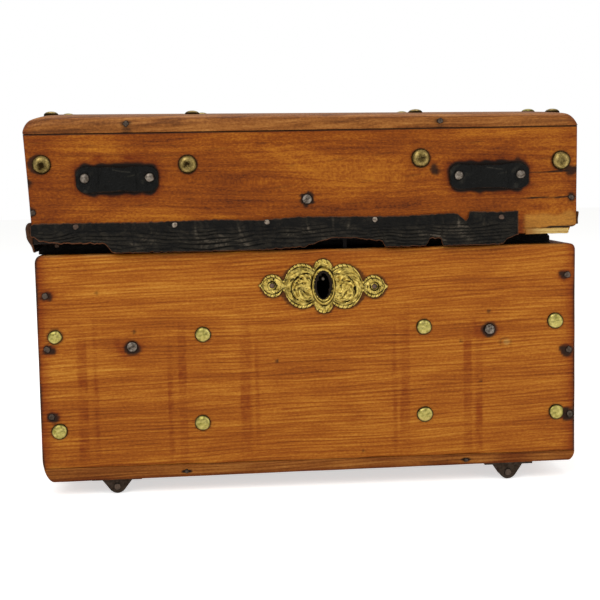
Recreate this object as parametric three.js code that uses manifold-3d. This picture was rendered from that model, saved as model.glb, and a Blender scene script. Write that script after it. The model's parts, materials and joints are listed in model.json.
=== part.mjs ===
// Antique pine document box: a nailed body on four small iron rollers, a domed lid on two butt
// hinges, a box lock behind a brass escutcheon, leather strap keepers and a leather dust flap.
// Units are millimetres and +Z is up. Lengths are laid out from the middle of the body, and the
// outer group then moves the origin under the middle of the whole box, on the floor.

import * as THREE from 'three';
import { mergeVertices } from 'three/addons/utils/BufferGeometryUtils.js';
import Module from 'manifold-3d';

const wasm = await Module();
wasm.setup();

// Clearances
const fit = 0.3;                    // between a cut and the piece that sits in it
const running = 0.4;                // between a turning or sliding piece and its guide

// Body
const bodyWidth = 371.5;
const bodyDepth = 232;
const bodyBoard = 14;
const bodyBoardHeight = 146.5;
const bottomThickness = 8;          // at the middle
const underside = 11.5;             // height of the bottom board above the floor, at the middle
const undersideTilt = 1.4;          // the underside is this much lower at the left end, higher at the right
// Worn corners of the body at its two ends: how far in and how far up or down each one reaches
const lowerCorners = { left: { width: 8, height: 15 }, right: { width: 5, height: 9 } };
const upperCorners = { left: { width: 4, height: 5.5 }, right: { width: 3.5, height: 4 } };

// Lid
const lidGap = 7.8;                 // the lid rests on the lip, this far above the rim
const lidBoard = 19;
const lidBoardHeight = 73.4;
const lidFrontOverhang = 3;
const lidLeanLeft = 4;              // how far each end leans out from its foot to the seam
const lidLeanRight = 0.3;
const topEdgeLeft = 11.6;           // thickness of the top board at its front edge, before the rounding
const topEdgeRight = 8.3;
const topCamber = 5.6;
const topRoundFront = 6.5;
// Ends of the top board: the radius of the round edge, the share of the thickness that it takes
// off, and the share and the length of the longer droop before it
const topEnds = {
  left: { radius: 4.8, round: 0.4, droop: 0.4, run: 17.5 },
  right: { radius: 8.1, round: 0.88, droop: 0.055, run: 28 },
};

// Leather covered lip inside the rim
const lipThickness = 5;
const lipDepth = 46;                // how far it reaches down inside the body

// Rollers
const rollerRadius = 5;
const rollerLength = 7;
const axleRadius = 1.7;
const rollerFromEndLeft = 50.25;
const rollerFromEndRight = 47.25;
const rollerFromFace = 8.6;
const earThickness = 1.2;
const earTopWidth = 22;
const earTipRadius = 6.4;
const earTipSweep = 0.62 * Math.PI; // how much of a circle the round tip of an ear is
const flangeWidth = 34;
const flangeDepth = 15.2;
const flangeThickness = 1.4;
const axleHeadRadius = 2.3;
const axleHeadLength = 0.8;
const rollerSides = 20;

// Hinges
const hingeFromEnd = 75;
const hingeLength = 60;
const hingeThickness = 1.6;
const barrelRadius = 3;
const hingePinRadius = 1.5;
const hingeLeafWidth = 10.2;
const knuckles = 5;

// Lock
const lockOffset = 9.4;             // right of the middle of the body
const keyholeBelowRim = 25.3;
const keyholeWidth = 9;
const keyholeHeight = 18;
const drillPinBelowRim = 20.4;
const drillPinRadius = 1.5;
const lockWidth = 64;
const lockHeight = 52;
const lockWall = 1.2;
const lockFromFront = 4;            // wood left in front of the case
const capMargin = 6;
const boltThickness = 2.4;
const boltBarHeight = 5;
const boltThrow = 7;
const boltPinGap = 0.5;             // between the bolt and the drill pin under it
const prongHeight = 4.4;
const prongReach = 3;               // how far a thrown prong stands out past its link
const postWidth = 3;
const linkSpacing = 32;
const linkThickness = 2.5;
const linkWidth = 7;
const linkBelowRim = 12.4;
const linkWall = 1.25;
const linkFoot = 2.4;
const linkPlateLength = 48;
const linkPlateWidth = 9;
const linkPlateThickness = 1.5;
const slotClearance = 1;

// Escutcheon
const escutcheonThickness = 1.2;
const escutcheonRimHeight = 2.6;
const escutcheonRim = [7, 12.5];    // half width and half height of the raised oval
const escutcheonHole = [5.5, 10];
const sideLobe = [12.4, 15.5];
const sideLobeOffset = 14.4;
const middleLobe = [6.6, 18.8];
const endLobeRadius = 8;
const endLobeOffset = 35.3;
const neckHeight = 11;
const tipReach = 44.8;
const tipHeight = 5;

// Nails, rivets and screws: head radius, head height, shank radius, shank length
const bodyNail = { head: 5.6, height: 2.4, shank: 1, length: 9 };
const lidNail = { head: 6.3, height: 3.7, shank: 1, length: 11 };
const topNail = { head: 5.1, height: 2.4, shank: 1, length: 9 };
const rivet = { head: 3, height: 1.8, shank: 1, length: 11 };
const woodScrew = { head: 3.1, height: 1.1, shank: 1.4, length: 10 };
const escutcheonPin = { head: 1.7, height: 0.9, shank: 0.8, length: 8 };
const headSides = 16;

// Leather
const loopLength = 55;
const loopHeight = 20.5;
const loopThickness = 2.2;
const loopRise = 3;                 // room for a strap behind the loop
const loopFlat = 14;                // riveted flat at each end
const loopRivetInset = 6;
const flapThickness = 2.2;
const flapBelowSeam = 58.7;         // top edge of the leather flap under the seam
const flapAboveRim = 0.5;           // the longest tabs end this far above the rim
const flapPastLeft = 1.5;           // turned over the left corner of the lid
const flapShortRight = 41.25;       // torn off at the right end
const flapNotchAlong = 0.888;       // a small tear in the top edge, as a share of the length
const flapNotchDepth = 6;
const flapNotchWidth = 9;
const sideFlapTopBelowSeam = 58.9;
const leftFlapHeight = 20.5;        // hangs over the gap
const rightFlapHeight = 10;         // cut short above the foot of the lid
const sideFlapThickness = 2;

// Heights
const rim = underside + bottomThickness + bodyBoardHeight;
const lidFoot = rim + lidGap;
const seam = lidFoot + lidBoardHeight;
const lipTop = lidFoot - fit;

// Faces, from the middle of the body
const bodyLeft = -bodyWidth / 2;
const bodyRight = bodyWidth / 2;
const bodyFront = -bodyDepth / 2;
const bodyBack = bodyDepth / 2;
const lidFront = bodyFront - lidFrontOverhang;
const lidLeftTop = bodyLeft - lidLeanLeft;
const lidRightTop = bodyRight + lidLeanRight;
const lockX = lockOffset;
const keyholeZ = rim - keyholeBelowRim;
const drillPinZ = rim - drillPinBelowRim;

// How far a lid board's end leans out at height z, for a lean that is full at the seam
function leanAt(lean, z) {
  return (lean * Math.max(0, z - lidFoot)) / lidBoardHeight;
}

// The box's own middle, measured over the leather at the right and the strap keepers in front
const sideFlapTop = seam - sideFlapTopBelowSeam;
const boxLeft = lidLeftTop;
const boxRight = bodyRight + leanAt(lidLeanRight, sideFlapTop) + fit + sideFlapThickness;
const boxFront = lidFront - loopRise - loopThickness;
const boxMiddleX = (boxLeft + boxRight) / 2;
const boxMiddleY = (boxFront + bodyBack) / 2;

// Materials
function finish(color, roughness, metalness = 0) {
  return new THREE.MeshStandardMaterial({ color, roughness, metalness });
}
const paleBodyPine = finish('#b5752f', 0.5);
const redLidPine = finish('#96562a', 0.45);
const darkTopPine = finish('#7c4526', 0.45);
const darkBottomPine = finish('#6b4328', 0.6);
const blackLeather = finish('#26241f', 0.6);
const oldBrass = finish('#8f8a45', 0.4, 1);
const giltBrass = finish('#c49a45', 0.35, 1);
const darkIron = finish('#2e2a27', 0.6, 1);
const greySteel = finish('#8b867c', 0.4, 1);

// Geometry helpers
function block(x0, x1, y0, y1, z0, z1) {
  const geometry = new THREE.BoxGeometry(x1 - x0, y1 - y0, z1 - z0);
  geometry.translate((x0 + x1) / 2, (y0 + y1) / 2, (z0 + z1) / 2);
  return geometry;
}

// A plate whose outline is drawn in X and Z, and which runs from y0 back to y1
function plate(points, y0, y1) {
  const outline = new THREE.Shape(points.map(([x, z]) => new THREE.Vector2(x, z)));
  const geometry = new THREE.ExtrudeGeometry(outline, { depth: y1 - y0, bevelEnabled: false });
  geometry.rotateX(Math.PI / 2);
  geometry.translate(0, y1, 0);
  return geometry;
}

// A plate whose outline is drawn in X and Y, and which runs from z0 up to z1
function layer(points, z0, z1) {
  const outline = new THREE.Shape(points.map(([x, y]) => new THREE.Vector2(x, y)));
  const geometry = new THREE.ExtrudeGeometry(outline, { depth: z1 - z0, bevelEnabled: false });
  geometry.translate(0, 0, z0);
  return geometry;
}

function ovalPlate(x, z, halfWidth, halfHeight, y0, y1, sides = 28) {
  const outline = [];
  for (let i = 0; i < sides; i += 1) {
    const angle = (i / sides) * 2 * Math.PI;
    outline.push([x + halfWidth * Math.cos(angle), z + halfHeight * Math.sin(angle)]);
  }
  return plate(outline, y0, y1);
}

// A round rod along X from x0 to x1
function rodX(radius, x0, x1, y, z, sides = headSides) {
  const geometry = new THREE.CylinderGeometry(radius, radius, x1 - x0, sides);
  geometry.rotateZ(Math.PI / 2);
  geometry.translate((x0 + x1) / 2, y, z);
  return geometry;
}

// A round rod along Y from y0 to y1, with a flat side down
function rodY(radius, y0, y1, x, z, sides = headSides) {
  const geometry = new THREE.CylinderGeometry(radius, radius, y1 - y0, sides);
  geometry.rotateY(Math.PI / sides);
  geometry.translate(x, (y0 + y1) / 2, z);
  return geometry;
}

function solid(geometry) {
  const bare = geometry.clone();
  bare.deleteAttribute('normal');
  bare.deleteAttribute('uv');
  const merged = mergeVertices(bare, 1e-4);
  return new wasm.Manifold(new wasm.Mesh({
    numProp: 3,
    vertProperties: Float32Array.from(merged.attributes.position.array),
    triVerts: Uint32Array.from(merged.index.array),
  }));
}

function join(...geometries) {
  return geometries.map(solid).reduce((whole, piece) => whole.add(piece));
}

function cut(body, ...cutters) {
  return cutters.reduce((rest, cutter) => rest.subtract(solid(cutter)), body);
}

function geometryOf(body) {
  const mesh = body.getMesh();
  const geometry = new THREE.BufferGeometry();
  geometry.setAttribute('position', new THREE.BufferAttribute(Float32Array.from(mesh.vertProperties), 3));
  geometry.setIndex(new THREE.BufferAttribute(Uint32Array.from(mesh.triVerts), 1));
  geometry.computeVertexNormals();
  return geometry;
}

const box = new THREE.Group();
box.position.set(-boxMiddleX, -boxMiddleY, 0);

function place(name, shape, material) {
  const geometry = shape.isBufferGeometry ? shape : geometryOf(shape);
  const mesh = new THREE.Mesh(geometry, material);
  mesh.name = name;
  box.add(mesh);
}

// A domed head over its shank, along Y
function fastener(kind, rings) {
  const profile = [[0, -kind.length], [kind.shank, -kind.length], [kind.shank, 0], [kind.head, 0]];
  for (let i = 1; i <= rings; i += 1) {
    const angle = (i / rings) * (Math.PI / 2);
    profile.push([i === rings ? 0 : kind.head * Math.cos(angle), kind.height * Math.sin(angle)]);
  }
  const points = profile.map(([radius, height]) => new THREE.Vector2(radius, height));
  return new THREE.LatheGeometry(points, headSides);
}

// Nails, rivets and screws stand out of a front face at y, with the shank going back into the wood
function domedFastener(kind, x, y, z, rings = 4) {
  const geometry = fastener(kind, rings);
  geometry.rotateX(Math.PI);
  geometry.translate(x, y, z);
  return geometry;
}

function shankHole(kind, x, y, z) {
  return rodY(kind.shank + fit, y - 1, y + kind.length + fit, x, z, 10);
}

// Where the brass nails and screws sit, from the ends of the boards and below their top edges
const bodyNailPlaces = [
  ['upper_left', bodyLeft + 11.9, rim - 55.4],
  ['upper_mid_left', bodyLeft + 111.8, rim - 56.5],
  ['upper_mid_right', bodyRight - 106.8, rim - 55.5],
  ['upper_right', bodyRight - 14.3, rim - 53.7],
  ['lower_left', bodyLeft + 12.4, rim - 120.6],
  ['lower_mid_left', bodyLeft + 110.1, rim - 117.7],
  ['lower_mid_right', bodyRight - 106.7, rim - 116.9],
  ['lower_right', bodyRight - 13.3, rim - 118],
];
const bodyScrewPlaces = [
  ['left', bodyLeft + 63.5, rim - 63.5],
  ['right', bodyRight - 60.9, rim - 58.2],
];
const lidNailPlaces = [
  ['left', bodyLeft + 7.8, seam - 20.3],
  ['mid_left', bodyLeft + 104.7, seam - 21.8],
  ['mid_right', bodyRight - 108.5, seam - 20.4],
  ['right', bodyRight - 11.3, seam - 23.6],
];
const loopPlaces = [
  ['left', bodyLeft + 57.5, seam - 30],
  ['right', bodyRight - 61.3, seam - 32.6],
];
const rollerEnds = [['left', bodyLeft + rollerFromEndLeft], ['right', bodyRight - rollerFromEndRight]];
const rollerSidesOfBox = [['front', bodyFront + rollerFromFace], ['back', bodyBack - rollerFromFace]];
// The middle row of nails on the top, of which the right one sits further forward
const topNailPlaces = [
  ['left', lidLeftTop + 18, 0],
  ['mid_left', lidLeftTop + 118.9, 0],
  ['mid_right', lidRightTop - 102.8, 0],
  ['right', lidRightTop - 11.6, -31],
];

function heights(z0, z1, steps) {
  return Array.from({ length: steps + 1 }, (unused, i) => z0 + ((z1 - z0) * i) / steps);
}

// How far a worn corner, a quarter of an ellipse, comes in at a distance from the edge it rounds
function cornerInset(corner, distance) {
  const rise = Math.min(1, Math.max(0, 1 - distance / corner.height));
  return corner.width * (1 - Math.sqrt(1 - rise * rise));
}

// One end of the body, left or right, as outline points from z0 up to z1
const cornerSteps = 6;
function bodyEnd(end, z0, z1) {
  const lower = lowerCorners[end];
  const upper = upperCorners[end];
  const levels = [
    ...heights(underside, underside + lower.height, cornerSteps),
    ...heights(rim - upper.height, rim, cornerSteps),
  ].filter((z) => z > z0 && z < z1);
  return [z0, ...levels, z1].map((z) => {
    const inset = cornerInset(lower, z - underside) + cornerInset(upper, rim - z);
    return [end === 'left' ? bodyLeft + inset : bodyRight - inset, z];
  });
}

// The outline of a board that shows both ends of the body, from z0 up to z1
function bodyOutline(z0, z1) {
  return [...bodyEnd('right', z0, z1), ...bodyEnd('left', z0, z1).reverse()];
}

// Body boards: the front and back cover the ends of the side boards
const boardFoot = underside + bottomThickness;
const lockPocket = block(
  lockX - lockWidth / 2 - fit, lockX + lockWidth / 2 + fit,
  bodyFront + lockFromFront - fit, bodyFront + bodyBoard + 1,
  rim - lockHeight - fit, rim + 1,
);
function keyway(y0, y1) {
  return ovalPlate(lockX, keyholeZ, keyholeWidth / 2, keyholeHeight / 2, y0, y1);
}
const escutcheonPinPlaces = [['left', lockX - endLobeOffset], ['right', lockX + endLobeOffset]];
const bodyFrontHoles = [
  ...escutcheonPinPlaces.map(([, x]) => shankHole(escutcheonPin, x, bodyFront, keyholeZ)),
  ...bodyNailPlaces.map(([, x, z]) => shankHole(bodyNail, x, bodyFront, z)),
  ...bodyScrewPlaces.map(([, x, z]) => shankHole(woodScrew, x, bodyFront, z)),
];
place('body_front_board', cut(
  solid(plate(bodyOutline(boardFoot, rim), bodyFront, bodyFront + bodyBoard)),
  lockPocket, keyway(bodyFront - 1, bodyFront + bodyBoard), ...bodyFrontHoles,
), paleBodyPine);
place('body_back_board', plate(bodyOutline(boardFoot, rim), bodyBack - bodyBoard, bodyBack), paleBodyPine);
for (const [end, side] of [['left', -1], ['right', 1]]) {
  const innerX = side * (bodyWidth / 2 - bodyBoard);
  const outline = [[innerX, boardFoot], ...bodyEnd(end, boardFoot, rim), [innerX, rim]];
  if (side < 0) outline.reverse();
  place(`body_${end}_board`, plate(outline, bodyFront + bodyBoard, bodyBack - bodyBoard), paleBodyPine);
}
// The bottom board is a wedge: its underside falls towards the left end
function undersideAt(x) {
  return underside + (undersideTilt * x) / (bodyWidth / 2);
}
const bottomOutline = bodyOutline(underside, boardFoot).map(([x, z]) => {
  const below = (boardFoot - z) / bottomThickness;
  return [x, z + below * (undersideAt(x) - underside)];
});
// The roller brackets are let into it, so that their plates sit level
function flangeTopAt(x) {
  return Math.max(underside, undersideAt(x + flangeWidth / 2));
}
const flangePockets = rollerEnds.flatMap(([, x]) => rollerSidesOfBox.map(([, y]) => block(
  x - flangeWidth / 2 - fit, x + flangeWidth / 2 + fit,
  y - flangeDepth / 2 - fit, y + flangeDepth / 2 + fit, underside - bottomThickness, flangeTopAt(x),
)));
const bottomBlank = plate(bottomOutline, bodyFront, bodyBack);
place('bottom_board', cut(solid(bottomBlank), ...flangePockets), darkBottomPine);

// Leather covered lip strips, nailed inside the rim; the front one is cut away round the lock
const lipFoot = rim - lipDepth;
const insideLeft = bodyLeft + bodyBoard;
const insideRight = bodyRight - bodyBoard;
const insideFront = bodyFront + bodyBoard;
const insideBack = bodyBack - bodyBoard;
const capHalf = lockWidth / 2 + capMargin;
const capFoot = rim - lockHeight - capMargin;
place('lip_front', cut(
  solid(block(insideLeft, insideRight, insideFront, insideFront + lipThickness, lipFoot, lipTop)),
  block(
    lockX - capHalf - fit, lockX + capHalf + fit,
    insideFront - 1, insideFront + lipThickness + 1, lipFoot - 1, rim + fit,
  ),
), blackLeather);
place('lip_back', block(
  insideLeft, insideRight, insideBack - lipThickness, insideBack, lipFoot, lipTop,
), blackLeather);
for (const [name, x0] of [['left', insideLeft], ['right', insideRight - lipThickness]]) {
  place(`lip_${name}`, block(
    x0, x0 + lipThickness, insideFront + lipThickness, insideBack - lipThickness, lipFoot, lipTop,
  ), blackLeather);
}

// Box lock: a case let into the front board from inside, a cap with the drill pin, and the bolt
const caseFront = bodyFront + lockFromFront;
const caseBack = insideFront;
const caseLeft = lockX - lockWidth / 2;
const caseRight = lockX + lockWidth / 2;
const caseFoot = rim - lockHeight;
const linkMiddle = (caseFront + lockWall + caseBack) / 2;
const linkFootZ = rim - linkBelowRim;
const linkPlaces = [lockX - linkSpacing / 2, lockX + linkSpacing / 2];
const linkSlots = linkPlaces.map((x) => block(
  x - linkThickness / 2 - slotClearance, x + linkThickness / 2 + slotClearance,
  linkMiddle - linkWidth / 2 - slotClearance, linkMiddle + linkWidth / 2 + slotClearance,
  rim - lockWall - 1, rim + 1,
));
const barFoot = drillPinZ + drillPinRadius + boltPinGap;
const barTop = barFoot + boltBarHeight;
const ledgeTop = barFoot - fit;
const ledgeWidth = 14;
const ledgeHeight = 3;
const ledges = [
  [caseLeft + lockWall / 2, caseLeft + lockWall + ledgeWidth],
  [caseRight - lockWall - ledgeWidth, caseRight - lockWall / 2],
].map(([x0, x1]) => block(
  x0, x1, caseFront + lockWall / 2, caseBack - running, ledgeTop - ledgeHeight, ledgeTop,
));
const caseShell = cut(
  solid(block(caseLeft, caseRight, caseFront, caseBack, caseFoot, rim)),
  block(
    caseLeft + lockWall, caseRight - lockWall, caseFront + lockWall, caseBack + 1,
    caseFoot + lockWall, rim - lockWall,
  ),
  keyway(caseFront - 1, caseFront + 2 * lockWall),
  ...linkSlots,
);
place('lock_case', ledges.map(solid).reduce((whole, ledge) => whole.add(ledge), caseShell), darkIron);

const drillPinEnd = bodyFront + 1;
place('lock_cap', join(
  block(lockX - capHalf, lockX + capHalf, caseBack, caseBack + lockWall, capFoot, rim - fit),
  rodY(drillPinRadius, drillPinEnd, caseBack + lockWall / 2, lockX, drillPinZ, 12),
), greySteel);

// The bolt's two prongs stand one clearance short of the links, and slide through them when thrown
const prongGap = boltThrow - linkThickness - prongReach;
const linkHoleFoot = linkFootZ + linkFoot;
const prongFoot = linkHoleFoot + 2 * running;
const boltFront = linkMiddle - boltThickness / 2;
const boltBack = linkMiddle + boltThickness / 2;
const prongs = linkPlaces.flatMap((x) => {
  const tip = x - linkThickness / 2 - prongGap;
  const post = tip - boltThrow - postWidth;
  return [
    block(post, post + postWidth, boltFront, boltBack, barTop - 1, prongFoot + prongHeight),
    block(post, tip, boltFront, boltBack, prongFoot, prongFoot + prongHeight),
  ];
});
const firstPost = linkPlaces[0] - linkThickness / 2 - prongGap - boltThrow - postWidth;
const barEnd = caseRight - lockWall - boltThrow - 2;
const talonWidth = 9;
const talonDepth = 2.4;
place('lock_bolt', cut(
  join(block(firstPost, barEnd, boltFront, boltBack, barFoot, barTop), ...prongs),
  block(
    lockX - talonWidth / 2, lockX + talonWidth / 2, boltFront - 1, boltBack + 1,
    barFoot - 1, barFoot + talonDepth,
  ),
), greySteel);

// Link plate under the lid's front board: its two links drop into the lock
const linkPlate = block(
  lockX - linkPlateLength / 2, lockX + linkPlateLength / 2,
  insideFront - fit - linkPlateWidth, insideFront - fit, lidFoot - linkPlateThickness, lidFoot,
);
const links = linkPlaces.map((x) => block(
  x - linkThickness / 2, x + linkThickness / 2,
  linkMiddle - linkWidth / 2, linkMiddle + linkWidth / 2, linkFootZ, lidFoot - linkPlateThickness / 2,
));
const linkHoleHeight = prongHeight + 4 * running;
const linkHoles = linkPlaces.map((x) => block(
  x - linkThickness, x + linkThickness,
  linkMiddle - linkWidth / 2 + linkWall, linkMiddle + linkWidth / 2 - linkWall,
  linkHoleFoot, linkHoleFoot + linkHoleHeight,
));
place('lock_link_plate', cut(join(linkPlate, ...links), ...linkHoles), greySteel);

// Escutcheon: a stamped plate of joined lobes with a raised oval rim round the keyhole
const escutcheonFront = bodyFront - escutcheonThickness;
function lobe(x, halfWidth, halfHeight) {
  return ovalPlate(lockX + x, keyholeZ, halfWidth, halfHeight, escutcheonFront, bodyFront);
}
const tips = [-1, 1].map((side) => plate([
  [lockX + side * endLobeOffset, keyholeZ - tipHeight],
  [lockX + side * tipReach, keyholeZ],
  [lockX + side * endLobeOffset, keyholeZ + tipHeight],
].sort((a, b) => (side < 0 ? b[1] - a[1] : a[1] - b[1])), escutcheonFront, bodyFront));
place('escutcheon', cut(
  join(
    lobe(-sideLobeOffset, ...sideLobe), lobe(sideLobeOffset, ...sideLobe), lobe(0, ...middleLobe),
    lobe(-endLobeOffset, endLobeRadius, endLobeRadius), lobe(endLobeOffset, endLobeRadius, endLobeRadius),
    block(
      lockX - endLobeOffset, lockX + endLobeOffset, escutcheonFront, bodyFront,
      keyholeZ - neckHeight / 2, keyholeZ + neckHeight / 2,
    ),
    ...tips,
    ovalPlate(lockX, keyholeZ, ...escutcheonRim, bodyFront - escutcheonRimHeight, bodyFront),
  ),
  ovalPlate(lockX, keyholeZ, ...escutcheonHole, bodyFront - escutcheonRimHeight - 1, bodyFront + 1),
  ...escutcheonPinPlaces.map(([, x]) => shankHole(escutcheonPin, x, escutcheonFront, keyholeZ)),
), giltBrass);
for (const [name, x] of escutcheonPinPlaces) {
  place(`escutcheon_pin_${name}`, domedFastener(escutcheonPin, x, escutcheonFront, keyholeZ, 3), oldBrass);
}

// Brass nails, screws, rivets
for (const [name, x, z] of bodyNailPlaces) {
  place(`body_nail_${name}`, domedFastener(bodyNail, x, bodyFront, z), oldBrass);
}
for (const [name, x, z] of bodyScrewPlaces) {
  place(`body_screw_${name}`, domedFastener(woodScrew, x, bodyFront, z, 2), greySteel);
}
for (const [name, x, z] of lidNailPlaces) {
  place(`lid_nail_${name}`, domedFastener(lidNail, x, lidFront, z), oldBrass);
}

// Strap keepers: a leather loop riveted flat at both ends and raised in the middle
const loopArchSteps = 8;
function loopOutline(x) {
  const half = loopLength / 2;
  const archHalf = half - loopFlat;
  const inner = [];
  const outer = [];
  for (let i = 0; i <= loopArchSteps; i += 1) {
    const along = -archHalf + (2 * archHalf * i) / loopArchSteps;
    const rise = loopRise * Math.cos((along / archHalf) * (Math.PI / 2)) ** 0.7;
    inner.push([x + along, lidFront - rise]);
    outer.push([x + along, lidFront - rise - loopThickness]);
  }
  return [
    [x - half, lidFront - loopThickness], ...outer, [x + half, lidFront - loopThickness],
    [x + half, lidFront], ...inner.reverse(), [x - half, lidFront],
  ];
}
const rivetPlaces = loopPlaces.flatMap(([name, x, z]) => [
  [`${name}_outer`, x + (name === 'left' ? -1 : 1) * (loopLength / 2 - loopRivetInset), z],
  [`${name}_inner`, x + (name === 'left' ? 1 : -1) * (loopLength / 2 - loopRivetInset), z],
]);
for (const [name, x, z] of loopPlaces) {
  const strap = solid(layer(loopOutline(x), z - loopHeight / 2, z + loopHeight / 2));
  const holes = rivetPlaces.map(([, rx, rz]) => shankHole(rivet, rx, lidFront - loopThickness, rz));
  place(`leather_loop_${name}`, cut(strap, ...holes), blackLeather);
}
for (const [name, x, z] of rivetPlaces) {
  place(`loop_rivet_${name}`, domedFastener(rivet, x, lidFront - loopThickness, z, 3), greySteel);
}

// Lid boards: the ends lean out from the foot to the seam
const lidOutline = [[bodyLeft, lidFoot], [bodyRight, lidFoot], [lidRightTop, seam], [lidLeftTop, seam]];
const lidFrontHoles = [
  ...lidNailPlaces.map(([, x, z]) => shankHole(lidNail, x, lidFront, z)),
  ...rivetPlaces.map(([, x, z]) => shankHole(rivet, x, lidFront, z)),
];
const lidInsideFront = lidFront + lidBoard;
const lidInsideBack = bodyBack - lidBoard;
const lidFrontBlank = plate(lidOutline, lidFront, lidInsideFront);
place('lid_front_board', cut(solid(lidFrontBlank), ...lidFrontHoles), redLidPine);
place('lid_back_board', plate(lidOutline, lidInsideBack, bodyBack), redLidPine);
place('lid_left_board', plate([
  [bodyLeft, lidFoot], [bodyLeft + lidBoard, lidFoot], [bodyLeft + lidBoard, seam], [lidLeftTop, seam],
], lidInsideFront, lidInsideBack), redLidPine);
place('lid_right_board', plate([
  [bodyRight - lidBoard, lidFoot], [bodyRight, lidFoot], [lidRightTop, seam], [bodyRight - lidBoard, seam],
], lidInsideFront, lidInsideBack), redLidPine);

// Top board: a flat underside, a cambered top that is planed thinner to the right, and round edges
function roundedDrop(distance, radius) {
  const across = 1 - Math.min(1, Math.max(0, distance / radius));
  return radius * (1 - Math.sqrt(1 - across * across));
}
function endLoss(distance, end) {
  const fall = Math.max(0, 1 - distance / end.run);
  return (end.round * roundedDrop(distance, end.radius)) / end.radius + end.droop * fall * fall;
}
function topHeight(x, y) {
  const middleY = (lidFront + bodyBack) / 2;
  const across = (y - middleY) / ((bodyBack - lidFront) / 2);
  const fromLeft = x - lidLeftTop;
  const fromRight = lidRightTop - x;
  const edge = topEdgeLeft + ((topEdgeRight - topEdgeLeft) * fromLeft) / (lidRightTop - lidLeftTop);
  const thickness = edge + topCamber * (1 - across * across)
    - roundedDrop(Math.min(y - lidFront, bodyBack - y), topRoundFront);
  return seam + thickness * (1 - endLoss(fromLeft, topEnds.left) - endLoss(fromRight, topEnds.right));
}
// Stations across the board, close together where the edge is round
function stations(low, high, roundLow, roundHigh, steps) {
  const share = [0, 0.13, 0.5, 1];
  const near = share.map((s) => low + s * roundLow);
  const far = share.map((s) => high - s * roundHigh).reverse();
  const middle = heights(near[3], far[0], steps).slice(1, -1);
  return [...near, ...middle, ...far];
}
function topBoard() {
  const xs = stations(lidLeftTop, lidRightTop, topEnds.left.radius, topEnds.right.radius, 18);
  const ys = stations(lidFront, bodyBack, topRoundFront, topRoundFront, 10);
  const positions = [];
  for (const y of ys) for (const x of xs) positions.push(x, y, topHeight(x, y));
  for (const y of ys) for (const x of xs) positions.push(x, y, seam);
  const index = [];
  const columns = xs.length;
  const under = xs.length * ys.length;
  const quad = (a, b, c, d) => index.push(a, b, c, a, c, d);
  for (let j = 0; j + 1 < ys.length; j += 1) {
    for (let i = 0; i + 1 < columns; i += 1) {
      const a = j * columns + i;
      quad(a, a + 1, a + columns + 1, a + columns);
      quad(under + a, under + a + columns, under + a + columns + 1, under + a + 1);
    }
  }
  const lastRow = (ys.length - 1) * columns;
  for (let i = 0; i + 1 < columns; i += 1) {
    quad(under + i, under + i + 1, i + 1, i);
    quad(under + lastRow + i + 1, under + lastRow + i, lastRow + i, lastRow + i + 1);
  }
  for (let j = 0; j + 1 < ys.length; j += 1) {
    const a = j * columns;
    const b = a + columns - 1;
    quad(under + a + columns, under + a, a, a + columns);
    quad(under + b, under + b + columns, b + columns, b);
  }
  const geometry = new THREE.BufferGeometry();
  geometry.setAttribute('position', new THREE.BufferAttribute(new Float32Array(positions), 3));
  geometry.setIndex(index);
  geometry.computeVertexNormals();
  return geometry;
}
// A head sits on the highest wood under its rim
function topNailSeat(x, y) {
  const rimHeights = Array.from({ length: headSides }, (unused, i) => {
    const angle = (i / headSides) * 2 * Math.PI;
    return topHeight(x + topNail.head * Math.cos(angle), y + topNail.head * Math.sin(angle));
  });
  return Math.max(topHeight(x, y), ...rimHeights);
}
const topNailHoles = topNailPlaces.map(([, x, y]) => {
  const hole = rodY(topNail.shank + fit, -topNail.length - fit, topNail.height, 0, 0, 10);
  hole.rotateX(Math.PI / 2);
  hole.translate(x, y, topNailSeat(x, y));
  return hole;
});
place('lid_top_board', cut(solid(topBoard()), ...topNailHoles), darkTopPine);
for (const [name, x, y] of topNailPlaces) {
  const geometry = fastener(topNail, 4);
  geometry.rotateX(Math.PI / 2);
  geometry.translate(x, y, topNailSeat(x, y));
  place(`top_nail_${name}`, geometry, oldBrass);
}

// Leather flap on the front of the lid, torn along its lower edge: each point is a share of its
// length from the left, and how far above the longest tabs the edge lies there
const flapTear = [
  [0, 13], [0.006, 9.5], [0.018, 7.6], [0.146, 6.7], [0.162, 0.2], [0.338, 0], [0.461, 0.1],
  [0.553, 1.6], [0.595, 6], [0.614, 7.3], [0.657, 6.9], [0.715, 4.1], [0.723, 0.1], [0.803, 0.4],
  [0.813, 5.4], [0.838, 5.2], [0.84, 0.1], [0.965, 0.2], [0.976, 3.9], [1, 6.8],
];
const flapLeft = bodyLeft - flapPastLeft;
const flapRight = bodyRight - flapShortRight;
const flapLength = flapRight - flapLeft;
const flapTop = seam - flapBelowSeam;
const flapFoot = rim + flapAboveRim;
const notchX = flapLeft + flapNotchAlong * flapLength;
const flapOutline = [
  ...flapTear.map(([share, above]) => [flapLeft + share * flapLength, flapFoot + above]),
  [flapRight, flapTop],
  [notchX + flapNotchWidth / 2, flapTop], [notchX, flapTop - flapNotchDepth],
  [notchX - flapNotchWidth / 2, flapTop], [flapLeft, flapTop],
];
place('leather_flap_front', plate(flapOutline, lidFront - flapThickness, lidFront), blackLeather);

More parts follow.
